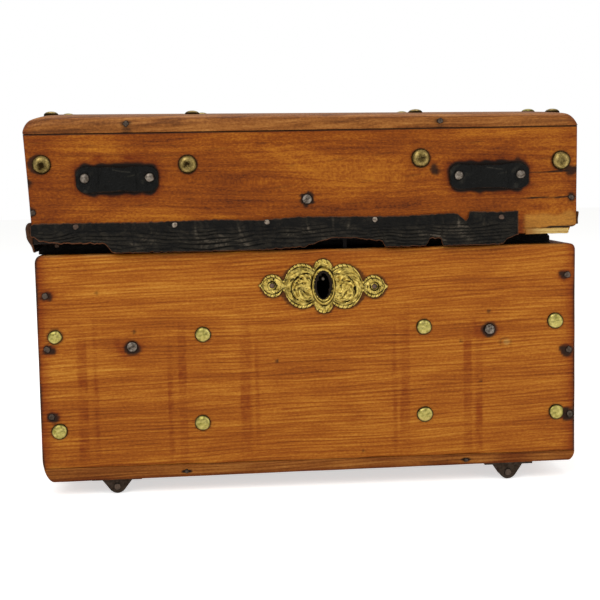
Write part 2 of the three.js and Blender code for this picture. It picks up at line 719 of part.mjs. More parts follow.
// Side flaps: they follow the lean of the lid's ends
for (const [name, side, lean, height] of [
  ['left', -1, lidLeanLeft, leftFlapHeight], ['right', 1, lidLeanRight, rightFlapHeight],
]) {
  const end = (side * bodyWidth) / 2;
  const levels = [sideFlapTop - height, Math.max(lidFoot, sideFlapTop - height / 2), sideFlapTop];
  const inside = levels.map((z) => [end + side * (leanAt(lean, z) + fit), z]);
  const outside = inside.map(([x, z]) => [x + side * sideFlapThickness, z]).reverse();
  const outline = [...inside, ...outside];
  if (side > 0) outline.reverse();
  place(`leather_flap_${name}`, plate(outline, lidFront, bodyBack), blackLeather);
}

// Butt hinges between the rim and the lid's back board, with the barrel flush with the back face;
// each pin is riveted into the body's leaf, and the lid's leaf turns on it
const hingeY = bodyBack - barrelRadius;
const hingeZ = (rim + lidFoot) / 2;
const knuckleLength = hingeLength / knuckles;
function hingeLeaf(x, z0, z1, own, other) {
  const left = x - hingeLength / 2;
  const pieces = [block(left, left + hingeLength, hingeY - hingeLeafWidth, hingeY, z0, z1)];
  for (const i of own) {
    const start = left + i * knuckleLength + running / 2;
    pieces.push(rodX(barrelRadius, start, start + knuckleLength - running, hingeY, hingeZ));
  }
  const gaps = other.map((i) => block(
    left + i * knuckleLength - running / 2, left + (i + 1) * knuckleLength + running / 2,
    hingeY - barrelRadius - running, hingeY + barrelRadius + 1, z0 - barrelRadius * 2, z1 + barrelRadius * 2,
  ));
  return cut(solid(pieces[0]), ...gaps).add(join(...pieces.slice(1)));
}
const bodyKnuckles = [0, 2, 4];
const lidKnuckles = [1, 3];
for (const [name, x] of [['left', bodyLeft + hingeFromEnd], ['right', bodyRight - hingeFromEnd]]) {
  const x0 = x - hingeLength / 2;
  const x1 = x + hingeLength / 2;
  const bodyLeaf = hingeLeaf(x, rim, rim + hingeThickness, bodyKnuckles, lidKnuckles);
  const lidLeaf = hingeLeaf(x, lidFoot - hingeThickness, lidFoot, lidKnuckles, bodyKnuckles);
  const pin = rodX(hingePinRadius, x0, x1, hingeY, hingeZ);
  const bore = rodX(hingePinRadius + fit, x0 - 1, x1 + 1, hingeY, hingeZ);
  place(`hinge_body_leaf_${name}`, bodyLeaf.add(solid(pin)), darkIron);
  place(`hinge_lid_leaf_${name}`, cut(lidLeaf, bore), darkIron);
}

// Iron rollers: a flanged bracket with two ears and its riveted axle, and the roller between them
const rollerZ = rollerRadius;
// A rod or plate on one side of y, from the distance near to the distance far
function span(y, side, near, far) {
  return side < 0 ? [y - far, y - near] : [y + near, y + far];
}
function rollerBracket(x, y) {
  const flangeTop = flangeTopAt(x);
  const flangeFoot = flangeTop - flangeThickness;
  const earFrom = rollerLength / 2 + running;
  const axleHalf = earFrom + earThickness;
  const earOutline = [];
  const tipSteps = 8;
  for (let i = 0; i <= tipSteps; i += 1) {
    const angle = 1.5 * Math.PI + earTipSweep * (i / tipSteps - 0.5);
    earOutline.push([x + earTipRadius * Math.cos(angle), running + earTipRadius * (1 + Math.sin(angle))]);
  }
  earOutline.push([x + earTopWidth / 2, flangeFoot + 0.5], [x - earTopWidth / 2, flangeFoot + 0.5]);
  const ears = [-1, 1].map((side) => plate(earOutline, ...span(y, side, earFrom, axleHalf)));
  const axleHeads = [-1, 1].map((side) => rodY(
    axleHeadRadius, ...span(y, side, axleHalf - fit, axleHalf + axleHeadLength), x, rollerZ, 12,
  ));
  return join(
    block(
      x - flangeWidth / 2, x + flangeWidth / 2, y - flangeDepth / 2, y + flangeDepth / 2,
      flangeFoot, flangeTop,
    ),
    ...ears,
    rodY(axleRadius, y - axleHalf, y + axleHalf, x, rollerZ, 12),
    ...axleHeads,
  );
}
function roller(x, y) {
  const overCorners = rollerRadius / Math.cos(Math.PI / rollerSides);
  const tread = rodY(overCorners, y - rollerLength / 2, y + rollerLength / 2, x, rollerZ, rollerSides);
  const bore = rodY(axleRadius + running, y - rollerLength, y + rollerLength, x, rollerZ, 12);
  return cut(solid(tread), bore);
}
for (const [endName, x] of rollerEnds) {
  for (const [sideName, y] of rollerSidesOfBox) {
    place(`roller_bracket_${sideName}_${endName}`, rollerBracket(x, y), darkIron);
    place(`roller_${sideName}_${endName}`, roller(x, y), darkIron);
  }
}

export default box;
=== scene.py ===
# %% [markdown]
# A small pine document box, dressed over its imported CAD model.
# The real box is nailed from waxed pine boards. It has a domed lid with a torn leather dust flap,
# two leather strap keepers, brass nails, a stamped brass escutcheon and iron rollers underneath.
# The CAD model fixes every place and size. This lesson adds what a drawing leaves out: worn
# edges, grain, stains, wrinkled leather, hammered nail heads and the relief of the brass.

import json
import math

import bpy
import numpy as np
from mathutils import Matrix, Vector


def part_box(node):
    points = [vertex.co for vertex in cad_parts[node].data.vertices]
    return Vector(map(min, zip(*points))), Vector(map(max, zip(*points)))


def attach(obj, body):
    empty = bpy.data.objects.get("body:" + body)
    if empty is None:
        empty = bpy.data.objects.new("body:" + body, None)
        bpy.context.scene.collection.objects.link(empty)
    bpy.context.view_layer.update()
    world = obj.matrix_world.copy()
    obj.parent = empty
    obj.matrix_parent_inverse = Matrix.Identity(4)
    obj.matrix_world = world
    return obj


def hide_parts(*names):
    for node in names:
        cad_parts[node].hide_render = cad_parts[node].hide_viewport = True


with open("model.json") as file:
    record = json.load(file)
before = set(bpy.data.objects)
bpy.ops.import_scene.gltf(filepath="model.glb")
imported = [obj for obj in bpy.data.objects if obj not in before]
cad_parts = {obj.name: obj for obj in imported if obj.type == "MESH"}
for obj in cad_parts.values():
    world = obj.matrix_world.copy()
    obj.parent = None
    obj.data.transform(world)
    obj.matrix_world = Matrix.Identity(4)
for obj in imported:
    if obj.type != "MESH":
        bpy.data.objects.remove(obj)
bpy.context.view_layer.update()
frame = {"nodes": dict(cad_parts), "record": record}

# %% [markdown]
# Everything below is worked out in millimetres, because a maker thinks of a 14 mm board and a
# 0.5 mm scratch. A CAD node's corners give the places, so that nothing is fitted by eye.

# %% Sizes of the box in millimetres
MM = 0.001


def corners(node_name):
    """Lowest and highest corner of a CAD node, in millimetres."""
    low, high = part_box(node_name)
    return np.array(low) / MM, np.array(high) / MM


def middle_of(node_name):
    """Middle of a node's box, in millimetres."""
    low, high = corners(node_name)
    return (low + high) / 2


body_low, body_high = corners("body_front_board")
LEFT, RIGHT = body_low[0], body_high[0]
FRONT, RIM = body_low[1], body_high[2]
BACK = corners("body_back_board")[1][1]
FOOT = body_low[2]
UNDERSIDE, UNDERSIDE_TILT = FOOT - 8.0, 1.4
BOARD = body_high[1] - body_low[1]
lid_low, lid_high = corners("lid_front_board")
LID_FRONT, LID_FOOT, SEAM = lid_low[1], lid_low[2], lid_high[2]
LID_BOARD = lid_high[1] - lid_low[1]
LEAN_LEFT, LEAN_RIGHT = LEFT - lid_low[0], lid_high[0] - RIGHT
TOP = corners("lid_top_board")[1][2]
MIDDLE = (LEFT + RIGHT) / 2
print(f"body {RIGHT - LEFT:.1f} wide, {BACK - FRONT:.1f} deep, rim at {RIM:.1f}, "
      f"lid {LID_FOOT:.1f} to {TOP:.1f}")

# %% [markdown]
# Four small curves do most of the shaping and painting: a random sway, an even fade, a bell
# shaped ridge and the round of a worn edge. They take whole arrays, one value for each point.

# %% Helpers: curves
def stacked(x, y, z):
    """Three grids, or numbers, as one grid of points or of red, green and blue."""
    return np.stack(np.broadcast_arrays(x, y, z), -1)


def unit(values):
    """Values held between 0 and 1."""
    return np.clip(values, 0, 1)


def fade(distance, reach):
    """1 - d / reach, held between 0 and 1."""
    return unit(1 - distance / reach)


def ridge(distance, width):
    """A bell curve, exp(-(d / width)^2)."""
    return np.exp(-((distance / width) ** 2))


def rounding(distance, radius):
    """How far a rounded edge falls back at a distance from it: r - sqrt(r^2 - (r - d)^2)."""
    across = np.clip(radius - distance, 0, radius)
    return radius - np.sqrt(np.maximum(radius**2 - across**2, 0))


def sway(points, seed, size):
    """A smooth random field between about -1 and 1: the mean of seven sine waves whose
    directions and phases come from the seed, with wavelengths round the given size in mm."""
    random = np.random.default_rng(seed)
    directions = random.normal(size=(7, 3))
    lengths = np.linalg.norm(directions, axis=1)
    directions *= (2 * np.pi / size * random.uniform(0.6, 1.6, 7) / lengths)[:, None]
    phases = random.uniform(0, 2 * np.pi, 7)
    return np.sin(points @ directions.T + phases).mean(axis=-1) * 1.9


def lines(low, high, step, edge=0.0):
    """Positions from low to high about a step apart, with extra ones inside each edge."""
    extra = edge * np.array([0.0, 0.07, 0.25, 0.55])
    inner = np.linspace(low + edge, high - edge, max(2, int(round((high - low - 2 * edge) / step)) + 1))
    return np.unique(np.concatenate([low + extra, inner, high - extra]).round(5))


def grid(a, b):
    """Two lists of positions as a pair of grids."""
    return np.meshgrid(a, b, indexing="ij")


def from_edges(a, a_low, a_high, b, b_low, b_high):
    """Distance from the nearest edge of a rectangle."""
    return np.minimum(np.minimum(a - a_low, a_high - a), np.minimum(b - b_low, b_high - b))


def from_strip_edges(v, height, x, start, end):
    """Distance from the nearest edge of a strip whose height goes with v from 0 to 1."""
    return np.minimum(np.minimum(v, 1 - v) * height, np.minimum(x - start, end - x))


def in_oval(x, z, half_sizes):
    """Distance from the middle of an oval, measured so that its outline is at 1."""
    return np.hypot(x / half_sizes[0], z / half_sizes[1])


# %% [markdown]
# A mesh here is always a closed shell worked out as whole numpy arrays. Most pieces of the box
# are thin things with two faces, such as a board, a leather flap or a stamped plate. So one
# helper joins two sheets of points that share a grid, and walls them in wherever a kept cell of
# the grid meets a cut one. A hole is then only a patch of cells that isn't kept.

# %% Helpers: closed sheets and finished pieces
def two_sheets(face, back, keep=None):
    """Joins two grids of points into one closed shell: the face's cells, the back's cells
    turned round, and a wall along each grid edge between a kept cell and one that isn't."""
    rows, columns = face.shape[:2]
    keep = np.ones((rows - 1, columns - 1), bool) if keep is None else keep
    index = np.arange(rows * columns).reshape(rows, columns)
    cell = np.stack([index[:-1, :-1], index[1:, :-1], index[1:, 1:], index[:-1, 1:]], -1)[keep]
    shift = rows * columns
    padded = np.pad(keep, 1)
    faces = [cell, cell[:, ::-1] + shift]
    for before, after, ends in ((padded[:-1, 1:-1], padded[1:, 1:-1], (index[:, :-1], index[:, 1:])),
                                (padded[1:-1, :-1], padded[1:-1, 1:], (index[1:], index[:-1]))):
        for (start, end), here in ((ends, after & ~before), (ends[::-1], before & ~after)):
            a, b = start[here], end[here]
            faces.append(np.stack([a, b, b + shift, a + shift], -1))
    return np.concatenate([face.reshape(-1, 3), back.reshape(-1, 3)]), np.concatenate(faces)


def around(rings, sectors):
    """Faces of a grid of rings by sectors whose last sector meets the first."""
    here = np.arange(rings * sectors).reshape(rings, sectors)
    after = np.roll(here, -1, 1)
    return np.stack([here[:-1], here[1:], after[1:], after[:-1]], -1).reshape(-1, 4)


def outward(points, faces):
    """Turns all faces round if the shell's signed volume is negative."""
    a, b, c, d = (points[faces[:, i]] for i in range(4))
    volume = (np.cross(b - a, c - a) * a).sum() + (np.cross(c - a, d - a) * a).sum()
    return faces if volume > 0 else faces[:, ::-1]


def piece(name, points, faces, marks, body, slot, material, replaces=()):
    """Makes one finished piece from arrays in millimetres, and gives it its body and finish."""
    used, faces = np.unique(faces, return_inverse=True)
    faces = outward(points[used], faces.reshape(-1, 4))
    mesh = bpy.data.meshes.new(name)
    mesh.from_pydata((points[used] * MM).tolist(), [], faces.tolist())
    mesh.shade_smooth()
    mesh.materials.append(material)
    colour = np.ones((len(used), 4), np.float32)
    colour[:, :3] = unit(marks[used])
    mesh.attributes.new("marks", "FLOAT_COLOR", "POINT").data.foreach_set("color", colour.ravel())
    made = bpy.data.objects.new(name, mesh)
    bpy.context.scene.collection.objects.link(made)
    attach(made, body)
    if replaces:
        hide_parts(*replaces)
    print(f"{name}: {len(faces)} faces")


def sheets(name, face, back, marks, body, slot, material, replaces=(), keep=None, back_marks=None):
    """Makes a piece of two sheets. Its back has the marks of its face unless it has its own."""
    points, faces = two_sheets(face, back, keep)
    back_marks = marks if back_marks is None else back_marks
    marks = np.concatenate([marks.reshape(-1, 3), back_marks.reshape(-1, 3)])
    piece(name, points, faces, marks, body, slot, material, replaces)


# %% [markdown]
# Materials are built from nodes by one small function. A colour is written as the hex value a
# painter would pick, and turned to the linear numbers that a shader needs.

# %% Helpers for materials
def linear(hex_code):
    """An sRGB hex value as linear RGBA."""
    values = [int(hex_code[i:i + 2], 16) / 255 for i in (1, 3, 5)]
    return tuple(v / 12.92 if v <= 0.04045 else ((v + 0.055) / 1.055) ** 2.4 for v in values) + (1.0,)


def feed(tree, node, inputs):
    """Feeds a node: an input is linked to another node's socket, or set to a number or a colour."""
    for key, value in inputs.items():
        if isinstance(value, bpy.types.NodeSocket):
            tree.links.new(value, node.inputs[key])
        else:
            node.inputs[key].default_value = linear(value) if isinstance(value, str) else value


def add(tree, kind, inputs, **settings):
    """Adds a node with its options and inputs, and returns its outputs."""
    made = tree.nodes.new(kind)
    for key, value in settings.items():
        setattr(made, key, value)
    feed(tree, made, inputs)
    return made.outputs


def calc(tree, operation, *inputs, clamp=False):
    """One step of arithmetic. MULTIPLY_ADD is first * second + third."""
    return add(tree, "ShaderNodeMath", dict(enumerate(inputs)), operation=operation, use_clamp=clamp)[0]


def scaled(tree, place, scale):
    """A place with each of its three directions scaled."""
    return add(tree, "ShaderNodeMapping", {"Vector": place, "Scale": scale})[0]


def noise(tree, place, scale, detail, roughness=0.5, distortion=0.0, output=0):
    """Smooth noise between 0 and 1, with about scale bumps in a millimetre of the place."""
    return add(tree, "ShaderNodeTexNoise", {"Vector": place, "Scale": scale, "Detail": detail,
                                            "Roughness": roughness, "Distortion": distortion})[output]


def ranged(tree, value, low, high, to_low, to_high):
    """A value from low to high as one from to_low to to_high, held between them."""
    return add(tree, "ShaderNodeMapRange", {0: value, 1: low, 2: high, 3: to_low, 4: to_high})[0]


def mixed(tree, factor, first, second, mode="MIX"):
    """Two colours mixed: the first where the factor is 0, the second where it is 1."""
    return add(tree, "ShaderNodeMix", {0: factor, 6: first, 7: second}, data_type="RGBA",
               blend_type=mode)[2]


def ramp(tree, value, stops):
    """A colour for each value, from pairs of position and hex value."""
    made = add(tree, "ShaderNodeValToRGB", {0: value})[0]
    elements = made.node.color_ramp.elements
    while len(elements) > 1:
        elements.remove(elements[-1])
    elements[0].position, elements[0].color = stops[0][0], linear(stops[0][1])
    for position, hex_code in stops[1:]:
        elements.new(position).color = linear(hex_code)
    return made


def bumped(tree, height, strength, distance):
    """A normal tilted by a height, for a relief of the distance in metres."""
    return add(tree, "ShaderNodeBump", {"Height": height, "Strength": strength, "Distance": distance})[0]


def marks_of(tree):
    """Red, green and blue of the point attribute "marks"."""
    colour = add(tree, "ShaderNodeAttribute", {}, attribute_name="marks")["Color"]
    return add(tree, "ShaderNodeSeparateColor", {0: colour})


def start_material(name):
    """A new material, its tree, its shader, and the object's own coordinates in millimetres."""
    material = bpy.data.materials.new(name)
    material.use_nodes = True
    tree = material.node_tree
    place = add(tree, "ShaderNodeTexCoord", {})["Object"]
    return material, tree, tree.nodes["Principled BSDF"], scaled(tree, place, (1 / MM, 1 / MM, 1 / MM))


# %% [markdown]
# Waxed pine is a softwood. Its grain is broad pale early wood and thin dark late wood, one pair
# for each year, here 2.6 mm apart on the body, 4.2 mm on the lid's sides and 5 mm on its top.
# Old wax and dirt turn it orange, and collect in the pores and along the edges. On a board the
# rings run as nearly straight stripes along the grain, bent a little by slow noise, with fine
# fibres about a millimetre wide between them. The red, green and blue of the point attribute
# "marks" say where the board has a stain, black iron dirt, or bare wood. On the body's front
# board green also holds painted shade, and blue along the rim a painted highlight.

# %% Pine
LATE_WOOD = [(0.0, "#000000"), (0.4, "#202020"), (0.72, "#d0d0d0"), (0.86, "#ffffff"), (1.0, "#000000")]
GRAIN = (((0.026, 0.8, 0.36), 4.0, 0.7, 0.0), ((0.5, 1.1, 0.6), 2.0, 0.6, 0.3),
         ((0.006, 0.13, 0.1), 3.0, 0.6, 0.0), ((0.012, 0.03, 0.03), 4.0, 0.6, 0.6))
LAYER_MEANS = (0.3, 0.5, 0.5, 0.5, 0.5)


def pine(name, along, stops, stain, dirt_and_painted_light, pale_wood, ring=2.6, slope=0.03, warp=7.0, rough=0.42,
         offset=(0, 0, 0), amounts=(0.2, 1.0, 0.55, 0.5, 0.6)):
    """Pine whose grain runs along one axis. Rings: stripes of across + 0.35 * depth - slope * along,
    moved by a slow noise. Over them lie four noises: fibres stretched 30 times along the grain, short
    flecks stretched twice, long soft streaks, and clouds as long as a hand. The tone is their
    weighted sum, set so that its mean is 0.5."""
    material, tree, shader, mm = start_material(name)
    order = {"X": (0, 2, 1), "Y": (1, 2, 0), "XY": (0, 1, 2)}[along]
    split = add(tree, "ShaderNodeSeparateXYZ", {"Vector": mm})
    grain = add(tree, "ShaderNodeCombineXYZ", {i: split[order[i]] for i in range(3)})[0]
    moved = add(tree, "ShaderNodeMapping", {"Location": offset, "Vector": grain})[0]
    slow = noise(tree, scaled(tree, moved, (0.004, 0.03, 0.03)), 1.0, 3.0, 0.55)
    length, across, depth = add(tree, "ShaderNodeSeparateXYZ", {"Vector": moved})
    tilt = calc(tree, "MULTIPLY_ADD", length, -slope, across)
    deep = calc(tree, "MULTIPLY_ADD", depth, 0.35, tilt)
    bent = calc(tree, "MULTIPLY_ADD", slow, warp * 2, deep)
    late = ramp(tree, calc(tree, "FRACT", calc(tree, "MULTIPLY", bent, 1 / ring)), LATE_WOOD)
    place = add(tree, "ShaderNodeCombineXYZ", {0: length, 1: bent, 2: depth})[0]
    layers = [late] + [noise(tree, scaled(tree, place, scale), 1.0, *how) for scale, *how in GRAIN]
    fibre = layers[1]
    tone = 0.5 - sum(amount * mean for amount, mean in zip(amounts, LAYER_MEANS))
    for amount, layer in zip(amounts, layers):
        tone = calc(tree, "MULTIPLY_ADD", layer, amount, tone)
    colour = ramp(tree, tone, stops)
    marks = marks_of(tree)
    # Blue mixes in pale wood, red multiplies the stain and green mixes in the dark colour; on the body's
    # front board green is partly painted shade and blue partly a painted highlight.
    for channel, over, mode in ((2, mixed(tree, tone, pale_wood, "#5a3513"), "MIX"), (0, stain, "MULTIPLY"),
                                (1, dirt_and_painted_light, "MIX")):
        worn = calc(tree, "MULTIPLY_ADD", marks[channel], 1.5, fibre)
        cut_in = calc(tree, "SUBTRACT", worn, 0.5, clamp=True)
        colour = mixed(tree, calc(tree, "MULTIPLY", cut_in, marks[channel], clamp=True), colour, over, mode)
    feed(tree, shader, {"Base Color": colour, "Specular IOR Level": 0.12,
                        "Roughness": ranged(tree, fibre, 0.3, 0.7, rough - 0.08, rough + 0.12),
                        "Normal": bumped(tree, calc(tree, "MULTIPLY_ADD", late, 0.5, fibre), 0.3, 0.0003)})
    return material


waxed = [(0.0, "#cf9138"), (0.3, "#b77222"), (0.5, "#a05815"), (0.7, "#8a460e"), (1.0, "#5c2b09")]
red_waxed = [(0.0, "#c07a1e"), (0.3, "#a55f17"), (0.5, "#8a450c"), (0.7, "#723509"), (0.88, "#522407"),
             (1.0, "#381805")]
base_waxed = [(0.0, "#c08a45"), (0.3, "#a66a2c"), (0.5, "#92561f"), (0.7, "#784216"), (1.0, "#43240f")]
dark_waxed = [(0.0, "#c08e50"), (0.3, "#a66c33"), (0.5, "#8c5423"), (0.7, "#6c3d18"), (1.0, "#3f210d")]
split_wood = [(0.0, "#e4cf98"), (0.4, "#cbab66"), (0.7, "#a98144"), (1.0, "#7a5228")]
body_pine = pine("waxed_pine_body", "X", waxed, "#c89a80", "#1c1209", "#cf9a50")
body_end_pine = pine("waxed_pine_ends", "Y", waxed, "#c89a80", "#1c1209", "#cf9a50", offset=(40, 9, 70))
lid_pine = pine("waxed_pine_lid", "X", red_waxed, "#c49a7c", "#150d07", "#cc8c38", ring=4.2, slope=-0.01,
                warp=12, offset=(310, 60, 5), amounts=(0.1, 0.6, 0.75, 0.5, 1.2))
lid_end_pine = pine("waxed_pine_lid_ends", "Y", red_waxed, "#c49a7c", "#150d07", "#c88f42", ring=4.2,
                    warp=12, offset=(120, 33, 5))
top_pine = pine("waxed_pine_top", "XY", dark_waxed, "#c49a7c", "#150d07", "#b4772f", ring=5.0, warp=14,
                offset=(33, 80, 7))
split_pine = pine("split_pine", "X", split_wood, "#b08050", "#2a1a0c", "#cf9a50", offset=(5, 3, 9))
base_pine = pine("dirty_pine_base", "X", base_waxed, "#b08a70", "#150d07", "#b4772f", rough=0.6,
                 offset=(90, 20, 7))
print("pine finishes:", [m.name for m in bpy.data.materials if "pine" in m.name])

# %% [markdown]
# Leather that is a hundred years old is almost black, dull and cracked into plates, and worn to
# a dusty brown where it is bent or torn. The plates are the cells of a Voronoi pattern, 5 mm long
# and 3 mm high on the flap and flatter on the lip. "Marks" red is where the surface is scuffed
# through to the brown. Green lightens it where a fold's crest has gone grey, and on the flap it
# is also a painted highlight on the wrinkles' crests, with painted shade left in the grooves.

# %% Leather
def leather(name, stops, scuff, plate=(6.0, 1.5), rough=0.62):
    """Plates: Voronoi cells stretched along the strip and bent by noise; a crack is where a point
    lies near a cell's edge. Dust: a slow noise that lightens the worn places."""
    material, tree, shader, mm = start_material(name)
    long = scaled(tree, mm, (1 / plate[0], 1 / plate[0], 1 / plate[1]))
    bend = noise(tree, mm, 0.09, 3.0, output="Color")
    shaken = add(tree, "ShaderNodeVectorMath", {0: bend, 3: 4.0}, operation="SCALE")[0]
    moved = add(tree, "ShaderNodeVectorMath", {0: long, 1: shaken}, operation="ADD")[0]
    cells = add(tree, "ShaderNodeTexVoronoi", {"Scale": 1.0, "Vector": moved}, feature="DISTANCE_TO_EDGE")
    crack = ranged(tree, cells["Distance"], 0.0, 0.14, 0.0, 1.0)
    dust = noise(tree, mm, 0.1, 5.0, 0.6)
    fold = noise(tree, moved, 1.1, 2.0)
    scuffed, wear_and_highlight, _ = marks_of(tree)
    tone = calc(tree, "MULTIPLY_ADD", dust, 0.6, 0.2)
    for socket, amount in ((crack, 0.14), (fold, 0.35), (wear_and_highlight, 0.6)):
        tone = calc(tree, "MULTIPLY_ADD", socket, amount, tone)
    colour = ramp(tree, calc(tree, "SUBTRACT", tone, 0.52), stops)
    rubbed = calc(tree, "SUBTRACT", calc(tree, "MULTIPLY_ADD", scuffed, 1.4, dust), 0.7, clamp=True)
    feed(tree, shader, {"Base Color": mixed(tree, rubbed, colour, scuff), "Roughness": rough,
                        "Specular IOR Level": 0.12,
                        "Normal": bumped(tree, calc(tree, "MULTIPLY_ADD", crack, 0.8, fold), 0.6, 0.0005)})
    return material


flap_leather = leather("cracked_black_leather", [(0.12, "#030302"), (0.36, "#0e0c09"), (0.62, "#26221b"),
                                                 (1.0, "#5f564a")], "#6b4229", plate=(5.0, 3.0))
loop_leather = leather("strap_leather", [(0.0, "#020201"), (0.4, "#070705"), (1.0, "#35322a")], "#3a2c20",
                       plate=(3.0, 4.0), rough=0.5)
lip_leather = leather("lip_leather", [(0.0, "#040302"), (0.4, "#0c0a07"), (1.0, "#241b14")], "#3d2c20")
print("leather finishes:", [m.name for m in bpy.data.materials if "leather" in m.name])

# %% [markdown]
# Old brass heads are metal under a thin olive-brown patina that lies in clouds, and iron is metal
# under rust. "Marks" red is how much grime has collected, most of all round a head's rim. On the
# escutcheon's keyhole bevel and on the lock's cap it is painted shade.

# %% Metals
def metal(name, clean, dull, grime_and_shade, rough=0.35, metallic=1.0, grit=1.2):
    """Patina: a cloudy noise mixes the clean and the dull colour. Grime, and in places painted shade:
    the red mark plus 0.8 of a fine noise, which also dulls the shine and pits the surface."""
    material, tree, shader, mm = start_material(name)
    cloud = noise(tree, mm, 0.35, 5.0, 0.65)
    pits = noise(tree, mm, grit, 3.0, 0.6)
    colour = mixed(tree, ranged(tree, cloud, 0.35, 0.65, 0.0, 1.0), clean, dull)
    dirt_and_painted_light = calc(tree, "MULTIPLY_ADD", pits, 0.8, marks_of(tree)[0])
    factor = ranged(tree, dirt_and_painted_light, 0.55, 1.1, 0.0, 1.0)
    feed(tree, shader, {"Base Color": mixed(tree, factor, colour, grime_and_shade), "Metallic": metallic,
                        "Roughness": ranged(tree, factor, 0.0, 1.0, rough, min(1.0, rough + 0.35)),
                        "Normal": bumped(tree, pits, 0.3, 0.0002)})
    return material


old_brass = metal("aged_brass_nails", "#c0b268", "#857c35", "#2c210c", rough=0.36, metallic=0.85, grit=0.45)
lid_brass = metal("dark_brass_nails", "#b0995e", "#7d6a38", "#2a1e0c", rough=0.4)
gilt_brass = metal("stamped_gilt_brass", "#d9c068", "#9c8338", "#1c1408", rough=0.34, grit=0.9)
iron = metal("forged_iron", "#473c33", "#2c231c", "#140e0a", rough=0.6)
steel = metal("worn_steel", "#8f857a", "#3d342b", "#17120d", rough=0.45, grit=0.8)
worn_iron = metal("worn_iron_nails", "#63564b", "#33281f", "#120c08", rough=0.55, metallic=0.8)
rivet_iron = metal("brown_riveted_iron", "#5f4f42", "#3c3027", "#1d150f", rough=0.55, metallic=0.7)
rusty = metal("brown_rusted_tacks", "#6d5443", "#44342b", "#241a13", rough=0.6, metallic=0.5)
bright_tack = metal("steel_tacks", "#a89c8c", "#5a4a3e", "#2a1e16", rough=0.45, metallic=0.8)
# On the lock's cap its dark colour is painted shade behind the keyhole.
cap_iron = metal("lock_cap_iron", "#6f675e", "#4a423a", "#0b0907", rough=0.5)
# Painted shade: a near-black iron for the lock's case and link plate, which lie in shade.
shade_black_iron = metal("lock_iron_painted_shade", "#1a1715", "#0f0d0b", "#060504", rough=0.8, metallic=0.6)
print("finishes in all:", len(bpy.data.materials))

# %% [markdown]
# The boards. A board could be a cube with a bevel, but a real edge is worn by hands: round by a
# millimetre in one place and almost sharp in the next. So each board is two sheets whose depth
# falls away near every edge, with a radius that sways along it. Then the whole board is bent
# to the box: the body's ends come in at their worn corners, and the lid's ends lean out.

# %% Board shapes
LOWER = {"left": (8.0, 15.0), "right": (5.0, 9.0)}
UPPER = {"left": (4.0, 5.5), "right": (3.5, 4.0)}


def worn_corners(points):
    """Moves the body's ends in by a quarter of an ellipse, w * (1 - sqrt(1 - (1 - d/h)^2)), at a
    distance d from the underside or the rim, fading to nothing over one board's thickness."""
    moved = points.copy()
    below, above = points[..., 2] - UNDERSIDE, RIM - points[..., 2]
    for end, sign, face in (("left", 1, LEFT), ("right", -1, RIGHT)):
        inset = np.zeros(points.shape[:-1])
        for (width, height), distance in ((LOWER[end], below), (UPPER[end], above)):
            inset += width * (1 - np.sqrt(1 - fade(distance, height) ** 2))
        moved[..., 0] += sign * inset * fade(sign * (points[..., 0] - face), BOARD)
    return moved


def leaning_ends(points):
    """Moves the lid's ends out in proportion to the height above its foot."""
    moved = points.copy()
    share = unit((points[..., 2] - LID_FOOT) / (SEAM - LID_FOOT))
    near_left, near_right = fade(points[..., 0] - LEFT, LID_BOARD), fade(RIGHT - points[..., 0], LID_BOARD)
    moved[..., 0] += share * (LEAN_RIGHT * near_right - LEAN_LEFT * near_left)
    return moved


def board_grid(low, high, out, step, edge):
    """Two grids of points over a board's faces: the outer one on the side that out names. The step
    is one number, or one for each direction of the grid."""
    axis, side = out
    along, across = [i for i in range(3) if i != axis]
    a, b = grid(*(lines(low[i], high[i], size, edge)
                  for i, size in zip((along, across), np.broadcast_to(step, 2))))
    face = np.zeros(a.shape + (3,))
    face[..., along], face[..., across] = a, b
    back = face.copy()
    face[..., axis] = high[axis] if side > 0 else low[axis]
    back[..., axis] = low[axis] if side > 0 else high[axis]
    return face, back, from_edges(a, low[along], high[along], b, low[across], high[across])


def board(name, low, high, out, body, slot, material, replaces, bend, seed, step=4.0, radius=1.4,
          marks=None, plain_walls=False):
    """A board with worn edges: rounding(distance, radius * (1 + 0.45 * sway)) on both faces. With
    plain walls the marks stop just short of its top and underside, and don't smear over them."""
    face, back, distance = board_grid(np.array(low), np.array(high), out, step, radius * 1.4)
    axis, side = out
    for sheet, sign in ((face, -side), (back, side)):
        worn = radius * (1 + 0.45 * sway(sheet, seed, 45))
        hollow = np.maximum(0.12 * (1 + sway(sheet, seed + 1, 90)), 0)
        sheet[..., axis] += sign * (rounding(distance, worn) + hollow)
    black = fade(distance, 1.6) * (0.25 + 0.25 * sway(face, seed + 2, 30))
    plain = stacked(fade(distance, 5) ** 1.5 * 0.6, black, 0)
    dirt_and_painted_light = plain if marks is None else np.maximum(plain, marks(face))
    if plain_walls:
        inner = unit(np.minimum(face[..., 2:] - low[2], high[2] - face[..., 2:]) / 0.15)
        dirt_and_painted_light, plain = dirt_and_painted_light * inner, plain * inner
    sheets(name, bend(face), bend(back), dirt_and_painted_light, body, slot, material, replaces, back_marks=plain)


# %% [markdown]
# Marks on the front boards are painted as arrays: soft boxes for the pale and dark ghosts of
# straps that hung there, and round halos where iron nails and screws have blackened the wood.
# At the rims of the brass nails and screws these halos are partly painted shade, and a dark
# outline down and right of the escutcheon is a painted shadow.

# %% Painting marks
def paint(layer, amount):
    """Puts an amount of a mark on a layer, wherever it is more than what is there."""
    np.maximum(layer, amount, out=layer)


def soft_box(points, x0, x1, z0, z1, soft=1.0, soft_z=None):
    """1 inside a box in X and Z, falling to 0 over a soft border."""
    x, z = points[..., 0], points[..., 2]
    soft_z = soft if soft_z is None else soft_z
    return (unit((x - x0) / soft + 0.5) * unit((x1 - x) / soft + 0.5)
            * unit((z - z0) / soft_z + 0.5) * unit((z1 - z) / soft_z + 0.5))


